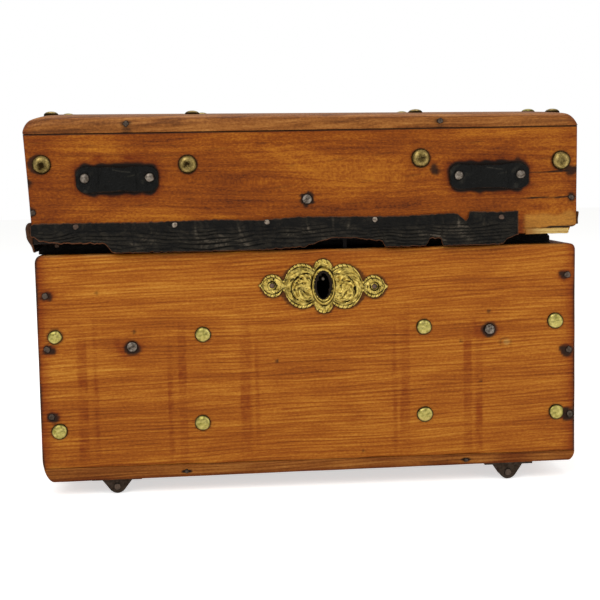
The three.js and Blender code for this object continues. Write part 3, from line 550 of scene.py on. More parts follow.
def halo(points, x, z, radius, soft, squash=1.0):
    """1 inside a radius round a place in X and Z, falling to 0 over a soft border."""
    distance = np.hypot(points[..., 0] - x, (points[..., 2] - z) * squash)
    return unit(1 - (distance - radius) / soft)


SIDES = ("left", "mid_left", "mid_right", "right")
BODY_NAILS = ["body_nail_" + row + side for row in ("upper_", "lower_") for side in SIDES]
LID_NAILS = ["lid_nail_" + side for side in SIDES]
BODY_SCREWS = ["body_screw_left", "body_screw_right"]
TOP_NAILS = ["top_nail_" + side for side in SIDES]
LID_SCREW = (-0.2, LID_FRONT, 200.5)
RIVETS = ["loop_rivet_" + side + end for side in ("left_", "right_") for end in ("outer", "inner")]
CORNER_NAILS = [(-178.7, 138.8), (-178.5, 102), (-177.2, 55.8), (180.6, 144.3), (181.8, 91.8), (182.7, 45.9)]
CORNER_HALOS = (3.4, 3.6, 3.2, 2.8, 4.4, 4.8)
TOP_IRON = [(-120.5, 253.2), (91.5, 251.6)]
END_IRON = [(182.4, 198.2), (-184, 195)]
BASE_NAILS = [(-86.6, 14.9), (108.7, 15.5)]
STRAP_GHOSTS = [(-159.3, -151.9), (-148.5, -145.1), (-98.4, -94.3), (-90.9, -84.7), (-48.4, -40.2),
                (-38.1, -34.7), (57, 60.5), (62.6, 69.6), (106.9, 113.3), (115.4, 121)]
print(len(BODY_NAILS + LID_NAILS), "brass nails in the CAD model,", len(CORNER_NAILS), "iron nails to add")

# %% [markdown]
# The front board of the body is what the eye rests on. It has a fine grid, because its stains
# are painted on the grid's points. The keyway is cut through it, and the lock's pocket is let
# into its back, so that the drill pin shows in the keyhole as on the real box.

# %% Front board of the body
lock_low, lock_high = corners("lock_case")
lock_x = (lock_low[0] + lock_high[0]) / 2
keyhole_z = middle_of("escutcheon")[2]
KEYWAY = (4.5, 9.0)
POCKET_GAP, POCKET_WALL = 0.3, 0.05
ESC_TILT = -0.03
END_LOBE_X, CROWN_Z, CROWN_RADIUS = 35.3, 12.4, 6.4
ESC_CIRCLES = ((-14.4, 0, 15.2), (14.4, 0, 15.2), (-END_LOBE_X, 0, 8), (END_LOBE_X, 0, 8),
               (0, CROWN_Z, CROWN_RADIUS), (0, -CROWN_Z, CROWN_RADIUS))
BODY_BLOTCHES = ((-15.2, 53.8, 8), (12.7, 57.1, 6), (36.3, 47, 12), (-120, 101, 16), (0, 66, 9))
BODY_SPECKS = ((-119.8, 112.6, 1.2), (-144.1, 139.9, 1.1), (125.2, 120.3, 1.2), (119.6, 71.3, 0.8),
               (-22.7, 89.7, 1.1), (105.6, 99.9, 0.9), (36.3, 24.7, 0.9))
GOUGE = (137.8, 98.2)


def front_marks(points):
    """Stains, iron dirt and bare wood of the body's front board, as red, green and blue. Green also holds
    painted shade: a shadow down and right of the escutcheon, and part of the dark rings round the nails and
    screws.
    """
    stain, black = np.zeros(points.shape[:-1]), np.zeros(points.shape[:-1])
    for i, (x0, x1) in enumerate(STRAP_GHOSTS):
        strip = soft_box(points, x0, x1, 16, 118 + 10 * np.sin(i * 2.1), 1.2, 22)
        paint(stain, strip * (0.5 + 0.16 * sway(points, 30 + i, 28) + 0.12 * sway(points, 130 + i, 4)))
    for x, z, radius in BODY_BLOTCHES:
        paint(stain, 0.55 * halo(points, x, z, radius * 0.5, radius, 1.8) * (0.7 + 0.5 * sway(points, 7, 14)))
    paint(stain, 0.35 * soft_box(points, -400, 400, 0, 26, 1, 12) * (0.8 + 0.4 * sway(points, 9, 60)))
    # Partly painted shade: a dark ring just outside each brass nail's head, grime and the shade of the
    # crevice under its rim.
    for name in BODY_NAILS:
        x, _, z = middle_of(name)
        paint(black, 0.6 * halo(points, x, z, 5.6, 1.0))
    for name in BODY_SCREWS:
        x, _, z = middle_of(name)
        # Partly painted shadow: the black halo round each screw is iron dirt and the shade under the head, so
        # it sits a little low.
        paint(black, 0.95 * halo(points, x + 0.2, z - 0.9, 4.6 + 0.7 * sway(points, 11, 9), 2.4))
        paint(stain, 0.7 * halo(points, x - 3, z - 1, 6 + 4 * sway(points, 12, 12), 11, 1.6))
    for i, ((x, z), reach) in enumerate(zip(CORNER_NAILS, CORNER_HALOS)):
        reach = reach + 1.2 * sway(points, 60 + i, 7)
        paint(black, 0.95 * halo(points, x + (0.8 if x < 0 else -1.2), z - 0.4, reach, 2.2, 1.2))
        paint(stain, 0.9 * halo(points, x, z, 4, 6, 1.3))
    # Painted shadow: a dark outline of the escutcheon, moved a little right and down, where the plate shades
    # the wood.
    for dx, dz, radius in ESC_CIRCLES:
        turned_z = keyhole_z + dz + ESC_TILT * dx
        paint(black, 0.75 * halo(points, lock_x + dx + 0.3, turned_z - 0.4, radius + 0.4, 1.2))
    near_lock = halo(points, lock_x - 6, keyhole_z + 6, 24, 26, 1.6)
    paint(stain, 0.55 * near_lock * (0.75 + 0.4 * sway(points, 13, 22)))
    for x, z, radius in BODY_SPECKS:
        paint(black, 0.7 * halo(points, x, z, radius, 1.0))
    paint(black, 0.35 * halo(points, -181, 20, 5, 18, 1.2) * (0.8 + 0.4 * sway(points, 14, 12)))
    gouge_rim = halo(points, 137, 98.4, 4.2, 1.6, 1.5) - halo(points, 137.4, 98.2, 2.6, 1.4, 1.5)
    paint(black, 0.6 * gouge_rim)
    return stacked(stain, black, 0.9 * halo(points, *GOUGE, 2.0, 1.4, 1.4))


def front_board():
    """The board as in board(), with cells cut out in an oval for the keyway, and the back sheet
    brought forward over the lock's pocket."""
    walls = (POCKET_GAP + POCKET_WALL, POCKET_GAP)
    xs = np.union1d(lines(LEFT, RIGHT, 1.5, 2.0), [lock_low[0] - gap for gap in walls]
                    + [lock_high[0] + gap for gap in walls])
    zs = np.union1d(lines(FOOT, RIM, 1.5, 2.0), [lock_low[2] - gap for gap in walls])
    x, z = grid(xs, zs)
    oval = in_oval(x - lock_x, z - keyhole_z, KEYWAY)
    near = (oval > 0.82) & (oval < 1.2)
    x = np.where(near, lock_x + (x - lock_x) / oval, x)
    z = np.where(near, keyhole_z + (z - keyhole_z) / oval, z)
    distance = from_edges(x, LEFT, RIGHT, z, FOOT, RIM)
    face, back = stacked(x, FRONT, z), stacked(x, FRONT + BOARD, z)
    worn = 1.3 * (1 + 0.45 * sway(face, 3, 45))
    face[..., 1] += rounding(distance, worn) + np.maximum(0.1 * (1 + sway(face, 4, 90)), 0)
    gap = POCKET_GAP + POCKET_WALL / 2
    pocket = (x > lock_low[0] - gap) & (x < lock_high[0] + gap) & (z > lock_low[2] - gap)
    back[..., 1] = np.where(pocket, lock_low[1] - POCKET_GAP, back[..., 1] - rounding(distance, 1.0))
    centre_x, centre_z = (x[:-1, :-1] + x[1:, 1:]) / 2, (z[:-1, :-1] + z[1:, 1:]) / 2
    keep = in_oval(centre_x - lock_x, centre_z - keyhole_z, KEYWAY) > 0.98
    from_end = np.minimum(x - LEFT, RIGHT - x)
    stain = np.maximum(fade(distance, 7) ** 1.5 * 0.35, fade(from_end, 14) ** 1.2)
    black = fade(distance, 1.5) * (0.4 + 0.3 * sway(face, 6, 30))
    paint(black, unit(1.3 - from_end / 2.6) * (0.75 + 0.3 * sway(face, 8, 20)))
    # Blue along the rim is partly bare wood worn by the lid and partly a painted highlight on the rim's top
    # edge.
    plain = stacked(stain, black, 0.75 * fade(RIM - z, 2.8) * unit(0.7 + 0.6 * sway(face, 5, 30)))
    dirt_and_painted_light = np.maximum(plain, front_marks(face))
    # Painted shade: the keyway's walls and a ring of wood round it are painted black on both sheets, as the
    # dark inside of the hole.
    keyway_shade = unit((1.75 - in_oval(x - lock_x, z - keyhole_z, KEYWAY)) * 8)
    for marks in (dirt_and_painted_light, plain):
        paint(marks[..., 1], keyway_shade)
    sheets("front_board", worn_corners(face), worn_corners(back), dirt_and_painted_light, "body", "pine_body", body_pine,
           ["body_front_board"], keep, plain)


front_board()

# %% [markdown]
# The sides stand between the front and the back, and the bottom board is nailed up under them.
# Its underside isn't level, but falls a little to the left.

# %% Other boards of the body
for end, x0, x1, side in (("left", LEFT, LEFT + BOARD, -1), ("right", RIGHT - BOARD, RIGHT, 1)):
    board(f"{end}_board", (x0, FRONT + BOARD, FOOT), (x1, BACK - BOARD, RIM), (0, side), "body",
          "pine_body", body_end_pine, [f"body_{end}_board"], worn_corners, 20 + side, step=3.0, radius=0.5)
board("back_board", (LEFT, BACK - BOARD, FOOT), (RIGHT, BACK, RIM), (1, 1), "body", "pine_body",
      body_pine, ["body_back_board"], worn_corners, 24, step=3.0)


def base_marks(points):
    """Dirt rubbed into the bottom board's edge by the floor, in patches."""
    low = fade(points[..., 2] - UNDERSIDE, 3)
    stain = 0.35 + 0.5 * low + 0.3 * sway(points, 28, 40)
    black = 0.3 * low**2 * (0.6 + 0.6 * sway(points, 29, 25))
    for x, z in BASE_NAILS:
        paint(black, halo(points, x, z, 3.4, 1.2, 3.0))
    return stacked(stain, black, 0)


def wedge(points):
    """Worn corners, and an underside that falls to the left: z moves by tilt * x / half width at the
    underside and not at all at the top face."""
    moved = worn_corners(points)
    below = unit((FOOT - moved[..., 2]) / (FOOT - UNDERSIDE))
    moved[..., 2] += below * UNDERSIDE_TILT * (moved[..., 0] - MIDDLE) / ((RIGHT - LEFT) / 2)
    return moved


board("bottom", (LEFT, FRONT, UNDERSIDE), (RIGHT, BACK, FOOT), (1, -1), "body", "pine_bottom",
      base_pine, ["bottom_board"], wedge, 27, step=1.0, radius=0.7, marks=base_marks, plain_walls=True)

# %% [markdown]
# The lid's front board carries the fittings, and is stained round each of them, with painted
# shade in part at the rims of the nails and round the centre screw. At its right end the flap is
# torn off and has left bare wood, a split, and a worn corner.

# %% Boards of the lid
LID_BLOTCHES = ((-186, 215, 4.5), (-184.1, 195, 3), (182.4, 216.7, 5), (182.8, 198.2, 3), (146, 222, 5),
                (88, 219, 3.5))
LID_STREAKS = ((-157, -80, 238.5, 0, 0.5), (-185, -150, 241, 0, 0.5), (60, 120, 236, 0, 0.4),
               (150, 196, 217.4, 0.05, 1.25), (143, 196, 198.6, 0.01, 1.25), (-168, -120, 233, 0.02, 0.5))
LID_CRACKS = ((166, 190, 177.1, 178.7, 1.0), (147, 168, 177.2, 178.0, 0.7))
LID_SCRATCHES = 26
BARE_START, BARE_TOP, KEEPER_ROUND = 148.5, 187.8, 7
BREAK_X, BREAK_Z = 181.2, 177.8
LATH_START, LATH_END, LATH_TOP = 150.6, 180.8, 177.1


def lid_marks(points):
    """Stains, iron dirt and bare wood of the lid's front board. Green also holds painted shade, in part,
    round the nails' heads and the centre screw.
    """
    x, z = points[..., 0], points[..., 2]
    stain, black = np.zeros(x.shape), np.zeros(x.shape)
    for name in ("leather_loop_left", "leather_loop_right"):
        low, high = corners(name)
        dx = np.abs(x - (low[0] + high[0]) / 2) - (high[0] - low[0]) / 2 + KEEPER_ROUND
        dz = np.abs(z - (low[2] + high[2]) / 2 + 0.8) - (high[2] - low[2]) / 2 + KEEPER_ROUND
        away = np.hypot(np.maximum(dx, 0), np.maximum(dz, 0)) - KEEPER_ROUND + 0.9 * sway(points, 48, 11)
        paint(black, unit((1.8 - away) / 2.2))
        paint(stain, 0.75 * fade(away, 9))
    for name in LID_NAILS:
        nail_x, _, nail_z = middle_of(name)
        # Partly painted shade: a dark ring at the rim of each nail's head, grime and the shade of the
        # crevice.
        paint(black, 0.85 * halo(points, nail_x, nail_z, 6.3, 1.4))
        paint(stain, 0.4 * halo(points, nail_x, nail_z, 6.5, 4))
    # Partly painted shade: the black ring round the centre screw is iron dirt and the shade of the recess it
    # sits in.
    paint(black, 0.95 * halo(points, LID_SCREW[0], LID_SCREW[2], 4.4 + 0.8 * sway(points, 47, 5), 1.4))
    for spot_x, spot_z, radius in LID_BLOTCHES:
        paint(black, 0.9 * halo(points, spot_x, spot_z, radius * (0.6 + 0.3 * sway(points, 40, 7)), 3.0))
    paint(black, 0.95 * unit((z - SEAM + 1.3) / 0.6))
    paint(stain, 0.7 * unit((192 - z) / 6) * (0.7 + 0.5 * sway(points, 41, 25)))
    ends = 0.55 * fade(x - LEFT + 4, 90) + 0.6 * unit((x - 138) / 40)
    paint(stain, ends * (0.8 + 0.5 * sway(points, 49, 30)))
    bare_top = BARE_TOP + 1.5 * sway(points, 42, 12)
    pale_wood = 0.85 * soft_box(points, BARE_START, 240, 0, bare_top, 3.0, 4.0) * (x > 140)
    stain = stain * (1 - pale_wood)
    crack = sum(depth * soft_box(points, *where, 3, 0.8) for *where, depth in LID_CRACKS)
    black = np.maximum(black * (1 - 0.5 * pale_wood), crack)
    paint(stain, 0.8 * soft_box(points, 145.5, 151, 160, 190, 2.5))
    paint(black, soft_box(points, -240, -160, 0, 178.8, 2, 1.0))
    for x0, x1, height, slope, depth in LID_STREAKS:
        line = height + slope * (x - x1) + 0.35 * sway(points * [1, 0, 0], int(height), 18)
        streak = ridge(z - line, 0.65) * soft_box(points, x0, x1, 100, 300, 14)
        paint(black, depth * streak * (0.8 + 0.3 * sway(points, 44, 12)))
    paint(stain, soft_box(points, -150, -98, 228.5, 232.5, 9, 5) * (0.7 + 0.4 * sway(points, 45, 12)))
    for i in range(LID_SCRATCHES):
        dx, dz = x - (LEFT + 10 + 349 * (i * 0.618 % 1)), z - (192 + 48 * (i * 0.414 % 1))
        paint(black, 0.45 * ridge(dz - 0.12 * dx, 0.9) * unit(1.5 - np.abs(dx) / (3 + 7 * (i * 0.27 % 1))))
    return stacked(stain, black, pale_wood)


def broken_corner(points):
    """Leaning ends, and the lower right corner broken off: a point right of the break and under its
    height goes up to it, with a round of 4 mm at the end."""
    moved = leaning_ends(points)
    x, z = moved[..., 0], moved[..., 2]
    floor = BREAK_Z + rounding(np.maximum(RIGHT - x, 0), 4.0) * 0.8
    moved[..., 2] = np.where((x > BREAK_X) & (z < floor), floor, z)
    return moved


def split_lath():
    """The sliver that has split off along the foot at the bare corner: a strip whose height sways
    a little, half a millimetre proud of the board, with its edges worn round."""
    x, v = grid(np.linspace(LATH_START, LATH_END, 60), np.linspace(0, 1, 12))
    flat = stacked(x, 0, 0)
    foot = LID_FOOT - 0.5 + 0.15 * sway(flat, 46, 9) + 0.5 * rounding(LATH_END - x, 1.5)
    z = foot + v * (LATH_TOP + 0.25 * sway(flat, 43, 7) - foot)
    edge = from_strip_edges(v, LATH_TOP - foot, x, LATH_START, LATH_END)
    stain = np.clip(0.35 + (163 - x) / 22, 0.1, 1)
    sheets("split_lath", stacked(x, LID_FRONT - 0.5 + rounding(edge, 0.45), z),
           stacked(x, LID_FRONT + 0.6, z), stacked(stain, 0, 0), "lid", "pine_lid", split_pine)


split_lath()
board("lid_front", (LEFT, LID_FRONT, LID_FOOT), (RIGHT, LID_FRONT + LID_BOARD, SEAM), (1, -1), "lid",
      "pine_lid", lid_pine, ["lid_front_board"], broken_corner, 50, step=(1.5, 0.75), radius=1.1,
      marks=lid_marks)
board("lid_back", (LEFT, BACK - LID_BOARD, LID_FOOT), (RIGHT, BACK, SEAM), (1, 1), "lid", "pine_lid",
      lid_pine, ["lid_back_board"], leaning_ends, 53, step=3.0)
for end, x0, x1, side in (("left", LEFT, LEFT + LID_BOARD, -1), ("right", RIGHT - LID_BOARD, RIGHT, 1)):
    board(f"lid_{end}", (x0, LID_FRONT + LID_BOARD, LID_FOOT), (x1, BACK - LID_BOARD, SEAM), (0, side), "lid",
          "pine_lid", lid_end_pine, [f"lid_{end}_board"], leaning_ends, 56 + side, step=3.0, radius=0.5)

# %% [markdown]
# The top board is one wide plank, planed to a low dome and rounded at its edges. It is the same
# formula as in the CAD model, on a grid fine enough for the highlight to run smoothly along it.

# %% Top board
TOP_EDGES, CAMBER, ROUND_FRONT = (11.6, 8.3), 5.6, 6.5
TOP_ENDS = ((4.8, 0.4, 0.4, 17.5), (8.1, 0.88, 0.055, 28.0))


def top_height(x, y):
    """seam + thickness * (1 - loss): the thickness falls evenly from the left edge's to the right's,
    plus camber * (1 - across^2), less the rounding of the long edges; the loss at each end is
    round * rounding / radius + droop * (1 - distance / run)^2."""
    left, right = LEFT - LEAN_LEFT, RIGHT + LEAN_RIGHT
    across = (y - (LID_FRONT + BACK) / 2) / ((BACK - LID_FRONT) / 2)
    edge = np.interp(x, [left, right], TOP_EDGES)
    thickness = edge + CAMBER * (1 - across**2) - rounding(np.minimum(y - LID_FRONT, BACK - y), ROUND_FRONT)
    loss = 0
    for distance, (radius, share, droop, run) in zip((x - left, right - x), TOP_ENDS):
        distance = np.maximum(distance, 0)
        loss = loss + share * rounding(distance, radius) / radius + droop * fade(distance, run) ** 2
    return SEAM + thickness * (1 - loss)


def top_board():
    """The plank over the lid, with extra lines of points where its ends and its front fall away."""
    xs = lines(LEFT - LEAN_LEFT, RIGHT + LEAN_RIGHT, 2.5, 9.0)
    near = 12 * np.linspace(0, 1, 20) ** 2
    xs = np.union1d(xs, np.concatenate([xs[0] + near, xs[-1] - near]).round(5))
    ys = np.union1d(lines(LID_FRONT, BACK, 2.5, 6.5), LID_FRONT + 6.5 * np.linspace(0, 1, 14) ** 2)
    x, y = grid(xs, ys)
    distance = from_edges(x, xs[0], xs[-1], y, ys[0], ys[-1])
    face, back = stacked(x, y, top_height(x, y)), stacked(x, y, SEAM + rounding(distance, 0.6))
    from_end = np.minimum(x - xs[0], xs[-1] - x)
    stain = fade(distance, 8) * (0.2 + 0.2 * sway(face, 59, 40)) + 0.7 * fade(from_end, 9)
    black = (0.5 * fade(face[..., 2] - SEAM, 1.2)
             + 0.45 * fade(from_end, 3) * unit(0.6 + sway(face, 58, 25)))
    for nail_x, nail_z in TOP_IRON:
        away = in_oval(face[..., 0] - nail_x, face[..., 2] - nail_z, (3.8, 2.0))
        paint(black, 0.75 * unit(1.6 - away) * (face[..., 1] < LID_FRONT + 3))
    sheets("top_board", face, back, stacked(stain, black, 0), "lid", "pine_top", top_pine, ["lid_top_board"])


top_board()

# %% [markdown]
# The dust flap is a strip of thick leather nailed along the foot of the lid, which once hung
# over the gap. Its lower edge is torn into tabs. Its outline is two curves of height against
# length, and its surface is pushed out by wrinkles that run along the lower half.

# %% Leather flap on the front
flap_low, flap_high = corners("leather_flap_front")
FLAP_TOP = [(-184, 188.2), (-150, 188), (-110, 187.6), (-60, 188.4), (-34, 187.3), (-5, 189.2), (30, 188.6),
            (62.8, 188.1), (98.6, 189.3), (103, 188.8), (108.6, 184), (110.8, 186.2), (111.4, 190.4),
            (130, 189.6), (145.3, 190)]
FLAP_FOOT = [(-184, 178.5), (-180, 175.6), (-168.8, 174), (-137, 173.2), (-134.5, 170), (-131.8, 166.8),
             (-73.6, 166.5), (-33, 166.6), (-2.3, 168.1), (11.4, 172.5), (17.6, 173.8), (31.9, 173.4),
             (51.1, 170.6), (53.1, 166.7), (80.8, 166.9), (83.6, 171.9), (91.9, 171.7), (92.4, 166.6),
             (133.6, 166.7), (137.4, 170.4), (145.3, 173.3)]
CREASES, FLAP_THICK, WRINKLED_BELOW = 18, 1.7, 184.5


def flap():
    """The strip as height against length: z = foot + v * (top - foot), with torn edges. The face
    stands at thickness + relief in front of the lid. Wrinkles are grooves exp(-(sin / 0.34)^2) of
    two sets of waves that cross, deepest in the lower half. Upright creases cross the upper half."""
    x, v = grid(np.linspace(flap_low[0], flap_high[0], 420), np.linspace(0, 1, 60))
    along = stacked(x, 0, 0)
    tear = 0.35 * sway(along, 60, 5) + 0.2 * sway(along, 61, 2)
    top = np.interp(x, *zip(*FLAP_TOP)) + 0.6 * tear - 0.3 - 0.5 * rounding(x - flap_low[0], 5.0)
    foot = np.maximum(np.interp(x, *zip(*FLAP_FOOT)) + tear, RIM + 0.5)
    z = foot + v * (top - foot)
    place, level = stacked(x, 0, z), stacked(0.5 * x, 0, z)
    slant = z * 1.25 + 4.2 * sway(place * [1, 1, 1.6], 62, 58) + 0.8 * sway(place * [1, 1, 2], 63, 19)
    other = (z * 1.05 - x * 0.03 + 4.6 * sway(place * [1, 1, 1.3], 161, 74)
             + 0.7 * sway(place * [1, 1, 2], 162, 23))
    share = unit(0.5 + 1.6 * sway(place * [1, 1, 1.5], 163, 48))
    groove = np.maximum(share * ridge(np.sin(slant), 0.34), (1 - share) * ridge(np.sin(other), 0.34))
    lower = unit((WRINKLED_BELOW - z) / 5)
    relief = ((0.4 - 1.15 * groove) * (0.15 + 0.85 * lower) * (0.85 + 0.45 * sway(level, 67, 30))
              + 0.16 * sway(place, 64, 9))
    upright = np.sin(x * 0.9 + 3 * sway(place, 65, 18)) * (1 - lower)
    relief += 0.5 * upright * unit(sway(place * [1, 1, 0.3], 66, 26))
    for i in range(CREASES):
        crease_x = flap_low[0] + 6 + (flap_high[0] - flap_low[0] - 12) * (i * 0.618 % 1)
        crease = ridge(x - crease_x - 0.25 * (i % 3 - 1) * (z - 184), 0.8)
        relief += (0.35 + 0.5 * (i * 0.732 % 1)) * crease * unit((z - 180.5 + 4 * (i * 0.414 % 1)) / 3)
    edge = from_strip_edges(v, top - foot, x, flap_low[0], flap_high[0])
    out = FLAP_THICK + 0.8 * relief - rounding(edge, 0.8) + 0.35 * unit((173.8 - z) / 7)
    scuffed = fade(edge, 0.9) * 0.8 + 0.6 * fade(z - foot, 1.2) * (x < -130)
    # Partly painted light: green follows the relief, lighter on the crests as grey wear and painted highlight
    # and darker in the grooves as painted shade; worn sets its strength in patches.
    worn = np.clip(0.7 + 0.7 * sway(level, 68, 22), 0.2, 1.6)
    wear_and_highlight = unit(0.14 + 0.06 * lower + 0.8 * relief * worn)
    paint(wear_and_highlight, 0.55 * fade(top - z, 1.2) * unit(0.5 + sway(place, 69, 12)))
    sheets("dust_flap", stacked(x, LID_FRONT - out, z), stacked(x, LID_FRONT - 0.02, z),
           stacked(scuffed, wear_and_highlight, 0), "lid", "leather_black", flap_leather, ["leather_flap_front"])


flap()

# %% [markdown]
# The flap's leather went on round both ends of the lid. At the left one its front corner has
# come loose and curls away from the wood.

# %% Leather on the ends of the lid
def end_flap(name, node_name, side, seed, corner_tear):
    """A strip on the lid's end: it follows the end's lean, and its foot is torn, the most at the
    front corner."""
    low, high = corners(node_name)
    y, v = grid(np.linspace(low[1], high[1], 160), np.linspace(0, 1, 16))
    along = stacked(0, y, 0)
    tear = 1.2 * np.clip(sway(along, seed, 30) + 0.4 * sway(along, seed, 6), 0, 2)
    foot = low[2] + corner_tear * fade(y - low[1], 9) + tear
    z = foot + v * (high[2] - foot)
    share = unit((z - LID_FOOT) / (SEAM - LID_FOOT))
    inner = (LEFT - LEAN_LEFT * share - 0.05) if side < 0 else (RIGHT + LEAN_RIGHT * share + 0.05)
    edge = from_strip_edges(v, high[2] - foot, y, low[1], high[1])
    curl = unit(1.3 - (y - low[1]) / 12) * np.exp(-(((z - 181.5) / 6.5) ** 4)) * (side < 0)
    out = 1.6 + 0.3 * sway(stacked(0, y, z), seed + 1, 14) - rounding(edge, 0.7) + 2.6 * curl
    scuffed = fade(edge, 0.9) * np.where(y < low[1] + 1, 0.45, 0.8)
    sheets(name, stacked(inner + side * out, y, z), stacked(inner, y, z), stacked(scuffed, 0, 0), "lid",
           "leather_black", flap_leather, [node_name])


end_flap("end_flap_left", "leather_flap_left", -1, 70, 6.5)
end_flap("end_flap_right", "leather_flap_right", 1, 74, 1.5)

# %% [markdown]
# Inside the rim runs a lip of thin wood covered in the same leather. It keeps the dust out and
# the lid in line. The cover is a soft skin, so its edges are rounder than a board's.

# %% Leather covered lip
def lip(node_name, out, seed):
    """A strip of the lip as two sheets, with rounding(distance, 1.9 + 0.3 * sway) at their edges."""
    low, high = corners(node_name)
    face, back, distance = board_grid(low, high, out, 3.0, 2.6)
    axis, side = out
    for sheet, sign in ((face, -side), (back, side)):
        sheet[..., axis] += sign * rounding(distance, 1.9 + 0.3 * sway(sheet, seed, 20))
    return face, back, distance


def cover_lip(node_name, face, back, distance, seed, keep=None):
    """Makes a strip of the lip from its sheets, scuffed along its edges."""
    scuffed = fade(distance, 2.5) * (0.5 + 0.3 * sway(face, seed, 18))
    sheets("leather_" + node_name, face, back, stacked(scuffed, 0, 0), "body", "leather_black", lip_leather,
           [node_name], keep)


for node_name, out, seed in (("lip_back", (1, -1), 81), ("lip_left", (0, 1), 82), ("lip_right", (0, -1), 83)):
    cover_lip(node_name, *lip(node_name, out, seed), seed)


def front_lip():
    """The front lip, with the cells behind the lock's cap cut out of its grid."""
    face, back, distance = lip("lip_front", (1, 1), 80)
    top = face[..., 2].max()
    for sheet in (face, back):
        from_end = np.clip(sheet[..., 0].max() - sheet[..., 0], 0, None)
        above = unit((sheet[..., 2] - RIM) / (top - RIM))
        sheet[..., 2] -= above * 0.8 * rounding(from_end, 5.0)
    cap_low, cap_high = corners("lock_cap")
    x, z = ((face[:-1, :-1, i] + face[1:, 1:, i]) / 2 for i in (0, 2))
    keep = (x < cap_low[0] - 0.3) | (x > cap_high[0] + 0.3) | (z > RIM + 1.0)
    cover_lip("lip_front", face, back, distance, 80, keep)


front_lip()


def lip_tail():
    """The leather of the front lip runs on over the left board to the corner, where its end is torn:
    a strip with rounded edges, whose height falls towards the corner."""
    start, end, lip_y, height, depth = LEFT + 1.2, LEFT + BOARD + 4.0, FRONT + BOARD, 7.4, 4.4
    x, v = grid(np.linspace(start, end, 40), np.linspace(0, 1, 16))
    inside = x - start
    top = RIM + height - rounding(inside, 5.0) + 0.25 * sway(stacked(x, 0, 0), 85, 6)
    z = RIM + 0.02 + v * (top - RIM)
    edge = np.minimum(inside, (1 - v) * (top - RIM))
    bulge = 0.5 * np.sin(np.pi * v) + 0.2 * sway(stacked(x, 0, z), 86, 6)
    sheets("leather_lip_tail", stacked(x, lip_y + rounding(edge, 1.2) - bulge, z),
           stacked(x, lip_y + depth - rounding(edge, 1.2), z), stacked(fade(edge, 1.6) * 0.6, 0, 0), "body",
           "leather_black", lip_leather)


lip_tail()

# %% [markdown]
# A strap keeper is a short belt of harness leather, riveted flat at both ends, with its middle
# standing up so that a strap could pass behind it. Its face is a little pillowed, and the rivets
# pull it in.

# %% Strap keepers
LOOP_FLAT, LOOP_RISE, LOOP_THICK = 14.0, 3.0, 2.2
LOOP_SCRATCHES = ((-3, 9, 0.78, -0.02), (5, 12, 0.2, 0.015), (-12, -6, -0.5, 0.03))


def keeper(name, node_name, rivets, seed):
    """Arch: rise * cos(along / half arch * 90 deg)^0.7. Outline: half height with round corners and a
    slight waist."""
    low, high = corners(node_name)
    (middle_x, _, middle_z), (half, _, half_height) = (low + high) / 2, (high - low) / 2
    along, v = grid(lines(-half, half, 0.6, 2.0), np.linspace(-1, 1, 41))
    inside = half - np.abs(along)
    wave = sway(stacked(along, 0, 0), seed, 16)
    waist = 0.9 * np.exp(-(along / 12) ** 4)
    height = half_height - 0.8 - 0.75 * rounding(inside, 8.0) - 0.35 * (1 + wave) - waist
    x, z = middle_x + along, middle_z - 1.0 + v * height
    place = stacked(x, 0, z)
    arch = LOOP_RISE * np.cos(unit(np.abs(along) / (half - LOOP_FLAT)) * np.pi / 2) ** 0.7
    edge = np.minimum(inside, (1 - np.abs(v)) * height)
    out = arch + LOOP_THICK - rounding(edge, 1.1) + 0.22 * sway(place, seed + 1, 9) * unit(edge / 2) - 0.25
    for rivet in rivets:
        rivet_x, _, rivet_z = middle_of(rivet)
        out -= 0.5 * np.exp(-((x - rivet_x) ** 2 + (z - rivet_z) ** 2) / 14)
    scuffed = fade(edge, 1.1) * (0.3 + 0.3 * sway(place, seed + 2, 6) - 0.2 * v)
    wear_and_highlight = 0.7 * unit(sway(place, seed + 3, 9)) * unit((np.abs(along) - 12) / 5)
    for k, (start, end, level, slope) in enumerate(LOOP_SCRATCHES):
        scratch = ridge((v - level - slope * (along - start)) * height, 0.5)
        paint(wear_and_highlight, (0.9 - 0.25 * k) * scratch * (along > start) * (along < end))
    sheets(name, stacked(x, LID_FRONT - np.maximum(out, 0.3), z),
           stacked(x, LID_FRONT - np.maximum(arch - 0.1, 0.0), z), stacked(scuffed, wear_and_highlight, 0), "lid",
           "leather_black", loop_leather, [node_name])


keeper("strap_keeper_left", "leather_loop_left", RIVETS[:2], 90)
keeper("strap_keeper_right", "leather_loop_right", RIVETS[2:], 95)

# %% [markdown]
# Nails, rivets and screws are turned or pressed heads. Each is a surface of revolution, a
# profile of height against radius carried round a circle, with the circle hammered slightly out
# of true. Many heads are stacked into one array, so that a row of nails is one piece.

# %% Heads of nails, rivets and screws
FACE = (1, -1)
SMALL, TINY = {"sectors": 24, "rings": 8}, {"sectors": 20, "rings": 7}


